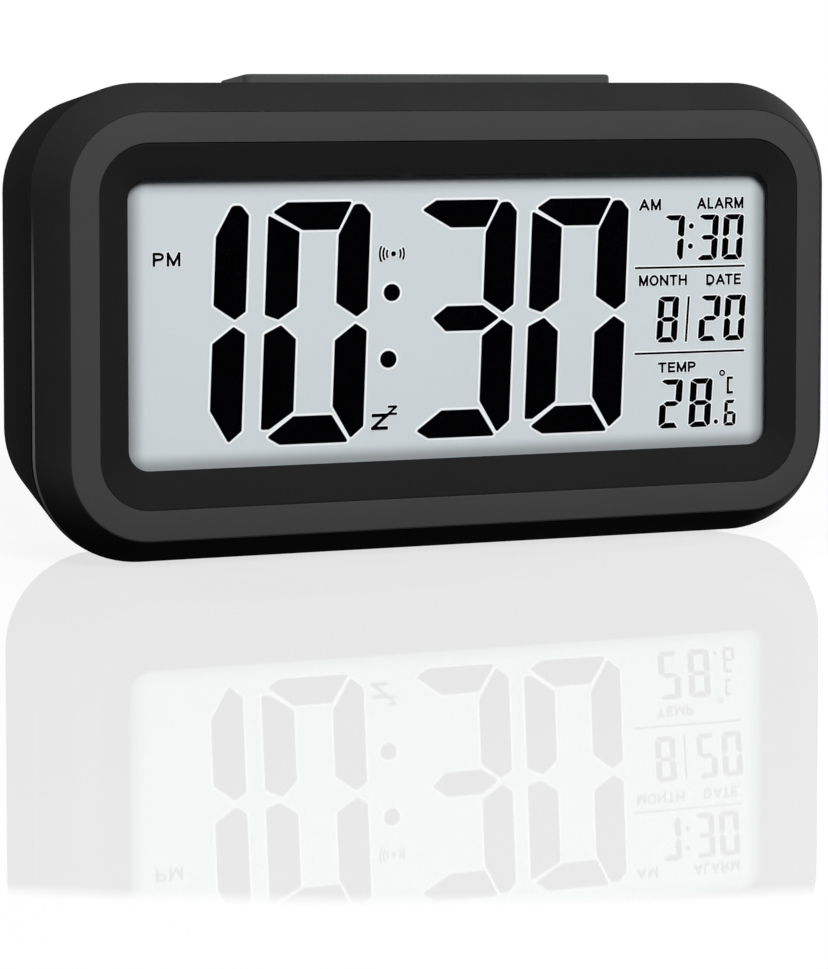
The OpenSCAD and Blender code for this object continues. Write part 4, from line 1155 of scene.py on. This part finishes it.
# lines of a word, set out to fill its box: left, right, bottom, top
def wordLines(text, box, half):
    left, right, bottom, top = box
    widths = np.array([letters[letter][0] for letter in text])
    gaps = np.array([letterGap + kerning.get(text[i:i + 2], 0) for i in range(len(text) - 1)])
    starts = np.concatenate([[0], np.cumsum(widths[:-1] + gaps)])
    scale = (right - left - 2 * half) / (widths.sum() + gaps.sum())
    lines = []
    for letter, start in zip(text, starts):
        width, strokes = letters[letter]
        origin = np.array([left + half + scale * start, bottom + half])
        size = np.array([scale * width, top - bottom - 2 * half])
        lines += [(origin + size * np.array(stroke), half) for stroke in strokes]
    return lines


# a flat outline given thickness: two copies of it, one at each level
def plateShape(outline, levels, axes):
    origin, right, up, out = axes
    flat = np.array(outline, float)
    spots = origin + flat[:, :1] * right + flat[:, 1:] * up
    grid = np.stack([spots + level * out for level in levels])
    return grid, gridFaces(2, len(flat), False)


# corners of one bar of a seven-bar digit: w wide, h high, with strokes v across and o up
def barCorners(bar, w, h, v, o):
    middle = h / 2
    return {
        "a": [(0.14 * v, h - 0.35 * o), (1.09 * v, h - o), (w - v, h - o), (w - 0.6 * v, h), (0.59 * v, h)],
        "b": [(w - 0.53 * v, h - 0.09 * o), (w - v, h - 1.2 * o), (w - v, middle + 0.7 * o),
              (w - 0.33 * v, middle + 0.18 * o), (w, middle + 0.47 * o), (w, h - 0.45 * o),
              (w - 0.25 * v, h - 0.09 * o)],
        "c": [(w - 0.36 * v, middle - 0.06 * o), (w - v, middle - 0.65 * o), (w - v, 1.3 * o),
              (w - 0.4 * v, 0.14 * o), (w, 0.55 * o), (w, middle - 0.34 * o)],
        "d": [(v, o), (0.2 * v, 0.28 * o), (0.6 * v, 0), (w - 0.46 * v, 0), (w - 1.02 * v, o)],
        "e": [(0.52 * v, middle - 0.05 * o), (0, middle - 0.36 * o), (0, 0.56 * o), (0.26 * v, 0.56 * o),
              (v, 1.18 * o), (v, middle - 0.56 * o)],
        "f": [(0, h - 0.45 * o), (0, middle + 0.33 * o), (0.43 * v, middle + 0.15 * o), (v, middle + 0.6 * o),
              (v, h - 1.06 * o)],
        "g": [(0.61 * v, middle + 0.05 * o), (1.04 * v, middle - 0.44 * o), (w - v, middle - 0.44 * o),
              (w - 0.45 * v, middle), (w - v, middle + 0.47 * o), (1.06 * v, middle + 0.47 * o)],
    }[bar]


# each corner moved out by the same distance from both its sides: along the sum of the two side normals,
# by distance / (1 + their dot product)
def grown(corners, distance):
    points = np.array(corners, float)
    side = np.roll(points, -1, 0) - points
    normal = np.stack([side[:, 1], -side[:, 0]], -1) / np.linalg.norm(side, axis=1, keepdims=True)
    before = np.roll(normal, 1, 0)
    return points + distance * (normal + before) / (1 + (normal * before).sum(1, keepdims=True))


# corners and radii of a digit's bars, leant by shifting each point across with its height
def digitBars(number, size, x, y, leanDegrees):
    w, h, v, o = size
    slope = math.tan(math.radians(leanDegrees))
    outlines = []
    for bar in digitShape["bars"][number]:
        corners = np.array(barCorners(bar, w, h, v, o))
        corners[:, 0] += (corners[:, 1] - h / 2) * slope
        radii = np.full(len(corners), digitShape["round"] * v)
        if bar == "b":
            radii[[0, -1]] = digitShape["tipRound"] * v
        outlines.append((corners + (x, y), radii))
    return outlines


# a four-sided bar that may lean: its half width to each side of its lower and its upper end
def leaningBar(lower, upper, bottom, top, half):
    corners = [(lower - half, bottom), (lower + half, bottom), (upper + half, top), (upper - half, top)]
    return np.array(corners), np.full(4, printShape["ruleRound"])


# points round a circle
def discOutline(centre, radius, count=28):
    angle = np.linspace(0, 2 * math.pi, count, endpoint=False)
    return np.array(centre) + radius * np.stack([np.cos(angle), np.sin(angle)], -1)


# dark marks, and their pale edges a little lower, each edge a hair above the one before it
def makeMarks(name, prints, halos, *nodes):
    shapes = [plateShape(outline, printShape["levels"], faceAxes) for outline in prints]
    finished(meshObject(name, shapes), "base", "display_print", displayPrint, *nodes)
    low, high = printShape["haloLevels"]
    step = printShape["haloStep"]
    shapes = [plateShape(outline, (low, high + step * i), faceAxes) for i, outline in enumerate(halos)]
    finished(meshObject(name + "_edges", shapes), "base", "display_print", displayEdge)


# bars with rounded corners and round dots; the pale edges are the same shapes grown by a width
def makeDigits(name, outlines, discs, width, node):
    prints = [rounded(corners, radii, steps=4) for corners, radii in outlines]
    prints += [discOutline(centre, radius) for centre, radius in discs]
    more = width * printShape["haloRound"]
    halos = [rounded(grown(corners, width), radii + more) for corners, radii in outlines]
    halos += [discOutline(centre, radius + width) for centre, radius in discs]
    makeMarks(name, prints, halos, node)


def makeTimeDigits():
    outlines = []
    for number, x in digitShape["time"]:
        outlines += digitBars(number, digitShape["timeSize"], x, digitShape["timeY"], digitShape["timeLean"])
    discs = [(centre, digitShape["colonRadius"]) for centre in digitShape["colon"]]
    makeDigits("time_digits", outlines, discs, printShape["timeHalo"], "lcd_time_digits")


def makeSmallDigits():
    outlines = []
    shiftX, shiftY = printShape["smallShift"]
    for size, digits in digitShape["small"]:
        for number, x, y in digits:
            outlines += digitBars(number, size, x + shiftX, y + shiftY, digitShape["smallLean"])
    half = printShape["ruleHalf"]
    for left, right, y in printShape["rules"]:
        middle = (left + right) / 2
        outlines.append(leaningBar(middle, middle, y - half, y + half, (right - left) / 2))
    outlines.append(leaningBar(*printShape["dateBar"]))
    makeDigits("small_digits", outlines, digitShape["smallDots"], printShape["smallHalo"], "lcd_small_digits")


# the sign's waves: each arc passes at its distance from the dot, as high as given, and its radius is that
# distance times the bend
def makeWords():
    lines = []
    for text, *box, half in printShape["words"]:
        lines += wordLines(text, box, half)
    x, y, dot, stroke = printShape["alarmSign"]
    for reach, rise in printShape["alarmArcs"]:
        radius = printShape["alarmBend"] * abs(reach)
        swing = math.degrees(math.asin(rise / radius))
        middle = 0 if reach > 0 else 180
        along = x + reach - math.copysign(radius, reach)
        lines.append((bow(along, y, radius, radius, middle - swing, middle + swing), stroke))
    degreeX, degreeY, radius, stroke = printShape["degree"]
    lines += [(bow(degreeX, degreeY, radius, radius, start, start + 180), stroke) for start in (0, 180)]
    left, right, bottom, top, stroke = printShape["celsius"]
    lines.append(([(right, top), (left, top), (left, bottom), (right, bottom)], stroke))
    width = printShape["wordHalo"]
    prints = [ribbon(points, half) for points, half in lines] + [discOutline((x, y), dot)]
    halos = [ribbon(points, half + width) for points, half in lines] + [discOutline((x, y), dot + width)]
    makeMarks("panel_words", prints, halos)


# Labels over the keys and the slider, as wide as their count of letters
labelShape = {
    "levels": (-0.05, 0.04),
    "rise": 6.3,
    "height": 1.7,
    "letter": 1.85,
    "stroke": 0.11,
    "words": (("TIME", -36.0), ("ALARM", -18.0), ("UP", 0.0), ("DOWN", 18.0), ("ON", 37.2), ("OFF", 43.4)),
}


def makeLabels():
    bottom = coverShape["keyHeight"] + labelShape["rise"]
    shapes = []
    for text, x in labelShape["words"]:
        reach = len(text) * labelShape["letter"] / 2
        box = (-x - reach, -x + reach, bottom, bottom + labelShape["height"])
        shapes += [plateShape(ribbon(points, half), labelShape["levels"], backAxes)
                   for points, half in wordLines(text, box, labelShape["stroke"])]
    finished(meshObject("cover_labels", shapes), "base", "white_plastic", markWhite)


makeTimeDigits()
makeSmallDigits()
makeWords()
makeLabels()
print("words made")

# Camera at the photograph's angle, from the left and a little above
view = {
    "place": (-153.1, -444.4, 75.1),
    "yaw": 19.04,
    "pitch": 2.76,
    "focalPixels": 2840.0,
    "imageSize": (828, 969),
    "axisPixel": (418.3, 220.7),
    "sensor": 36.0,
    "nearest": 10.0,
}


def makeCamera():
    width, height = view["imageSize"]
    axisX, axisY = view["axisPixel"]
    data = bpy.data.cameras.new("camera")
    data.sensor_fit = "HORIZONTAL"
    data.sensor_width = view["sensor"]
    data.lens = view["focalPixels"] * view["sensor"] / width
    data.shift_x = (width / 2 - axisX) / width
    data.shift_y = (axisY - height / 2) / width
    data.clip_start = view["nearest"] * mm
    camera = bpy.data.objects.new("camera", data)
    camera.location = np.array(view["place"]) * mm
    camera.rotation_euler = (math.radians(90 - view["pitch"]), 0, -math.radians(view["yaw"]))
    bpy.context.scene.collection.objects.link(camera)
    bpy.context.scene.camera = camera


# Studio: white floor and backdrop to the camera, soft lamps around; a lamp has its place, width and watts
studio = {
    "floorHalf": 3000.0,
    "floorMatte": (0.9, 0.9, 0.9, 1),
    "floorDark": (0.03, 0.03, 0.03, 1),
    "floorMirror": 0.18,
    "mirrorReach": (209.0, 214.5),
    "mirrorRoughness": 0.02,
    "floorShade": 0.12,
    "shadeReach": (150.0, 600.0),
    "fillLevel": 0.03,
    "lamps": (
        ("lampKey", (-20, -1105, 750), 500, 19.0),
        ("lampEdge", (-590, 1160, 85), 600, 18.0),
        ("lampBack", (800, 1000, 500), 700, 7.0),
        ("lampSide", (1100, 300, 160), 300, 11.0),
    ),
}


# 1 for camera, glossy and transmission rays, 0 for the rest
def seenRays(tree):
    path = addNode(tree, "ShaderNodeLightPath", {}).outputs
    seen = calc(tree, "MAXIMUM", path["Is Camera Ray"], path["Is Glossy Ray"])
    return calc(tree, "MAXIMUM", seen, path["Is Transmission Ray"])


def mixShader(tree, share, first, second):
    return addNode(tree, "ShaderNodeMixShader", {0: share, 1: first.outputs[0], 2: second.outputs[0]})


# white where it is seen, with a shadow and a weak mirror that fade with the distance from the clock
def floorMaterial():
    material, tree, shader = newMaterial("paleFloor")
    tree.nodes.remove(shader)
    away = addNode(tree, "ShaderNodeVectorMath", {0: objectCoords(tree)}, operation="LENGTH").outputs["Value"]
    glow = addNode(tree, "ShaderNodeEmission", {"Color": white, "Strength": 1.0})
    matte = addNode(tree, "ShaderNodeBsdfDiffuse", {"Color": studio["floorMatte"]})
    shade = smoothMask(tree, (away, studio["shadeReach"], (studio["floorShade"], 0)))
    lit = mixShader(tree, shade, glow, matte)
    mirror = addNode(tree, "ShaderNodeBsdfGlossy", {"Color": white, "Roughness": studio["mirrorRoughness"]})
    gloss = smoothMask(tree, (away, studio["mirrorReach"], (studio["floorMirror"], 0)))
    dark = addNode(tree, "ShaderNodeBsdfDiffuse", {"Color": studio["floorDark"]})
    both = mixShader(tree, seenRays(tree), dark, mixShader(tree, gloss, lit, mirror))
    setInputs(tree, tree.nodes["Material Output"], {"Surface": both.outputs[0]})
    return material


def makeStudio():
    half = studio["floorHalf"]
    corners = [(-half, -half, 0), (half, -half, 0), (half, half, 0), (-half, half, 0)]
    floor = meshObject("floor", [(corners, [(0, 1, 2, 3)])])
    floor.data.materials.append(floorMaterial())
    world = bpy.data.worlds.new("backdrop")
    world.use_nodes = True
    tree = world.node_tree
    strength = mapped(tree, seenRays(tree), (0, 1), (studio["fillLevel"], 1))
    setInputs(tree, tree.nodes["Background"], {"Color": white, "Strength": strength})
    bpy.context.scene.world = world
    for name, place, size, power in studio["lamps"]:
        data = bpy.data.lights.new(name, "AREA")
        data.shape = "DISK"
        data.size = size * mm
        data.energy = power
        lamp = bpy.data.objects.new(name, data)
        lamp.location = np.array(place) * mm
        aimX, aimY, aimZ = np.array([0, 0, midZ]) - place
        lamp.rotation_euler = (math.atan2(math.hypot(aimX, aimY), -aimZ), 0, math.atan2(-aimX, aimY))
        bpy.context.scene.collection.objects.link(lamp)


makeCamera()
makeStudio()
bpy.context.scene.view_settings.view_transform = "Standard"
print("camera and studio made")

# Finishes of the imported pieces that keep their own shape
finishes = {
    windowClear: ("display_window",),
    displayGlass: ("lcd_front_glass", "lcd_rear_glass"),
    guideClear: ("light_guide",),
    whitePlastic: ("reflector_sheet", "lcd_tray"),
    ledYellow: ("backlight_leds",),
    screwSteel: ("tray_screws", "board_screws", "snooze_screws", "case_screws", "key_board_screws"),
    contactRubber: ("zebra_strip", "snooze_pill"),
    boardGreen: ("main_board", "snooze_board", "key_board"),
    componentBlack: ("board_parts", "temperature_sensor", "key_switches", "buzzer"),
    leadRed: ("snooze_leads", "battery_leads"),
    leadYellow: ("buzzer_leads",),
    plungerIvory: ("time_plunger", "alarm_plunger", "up_plunger", "down_plunger"),
    switchSteel: ("slide_switch",),
    ribbonGrey: ("key_ribbon",),
    contactNickel: ("contact_plates",),
}
for material, names in finishes.items():
    for name in names:
        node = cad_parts[name]
        node.data.materials.clear()
        node.data.materials.append(material)
print("packed pieces finished")
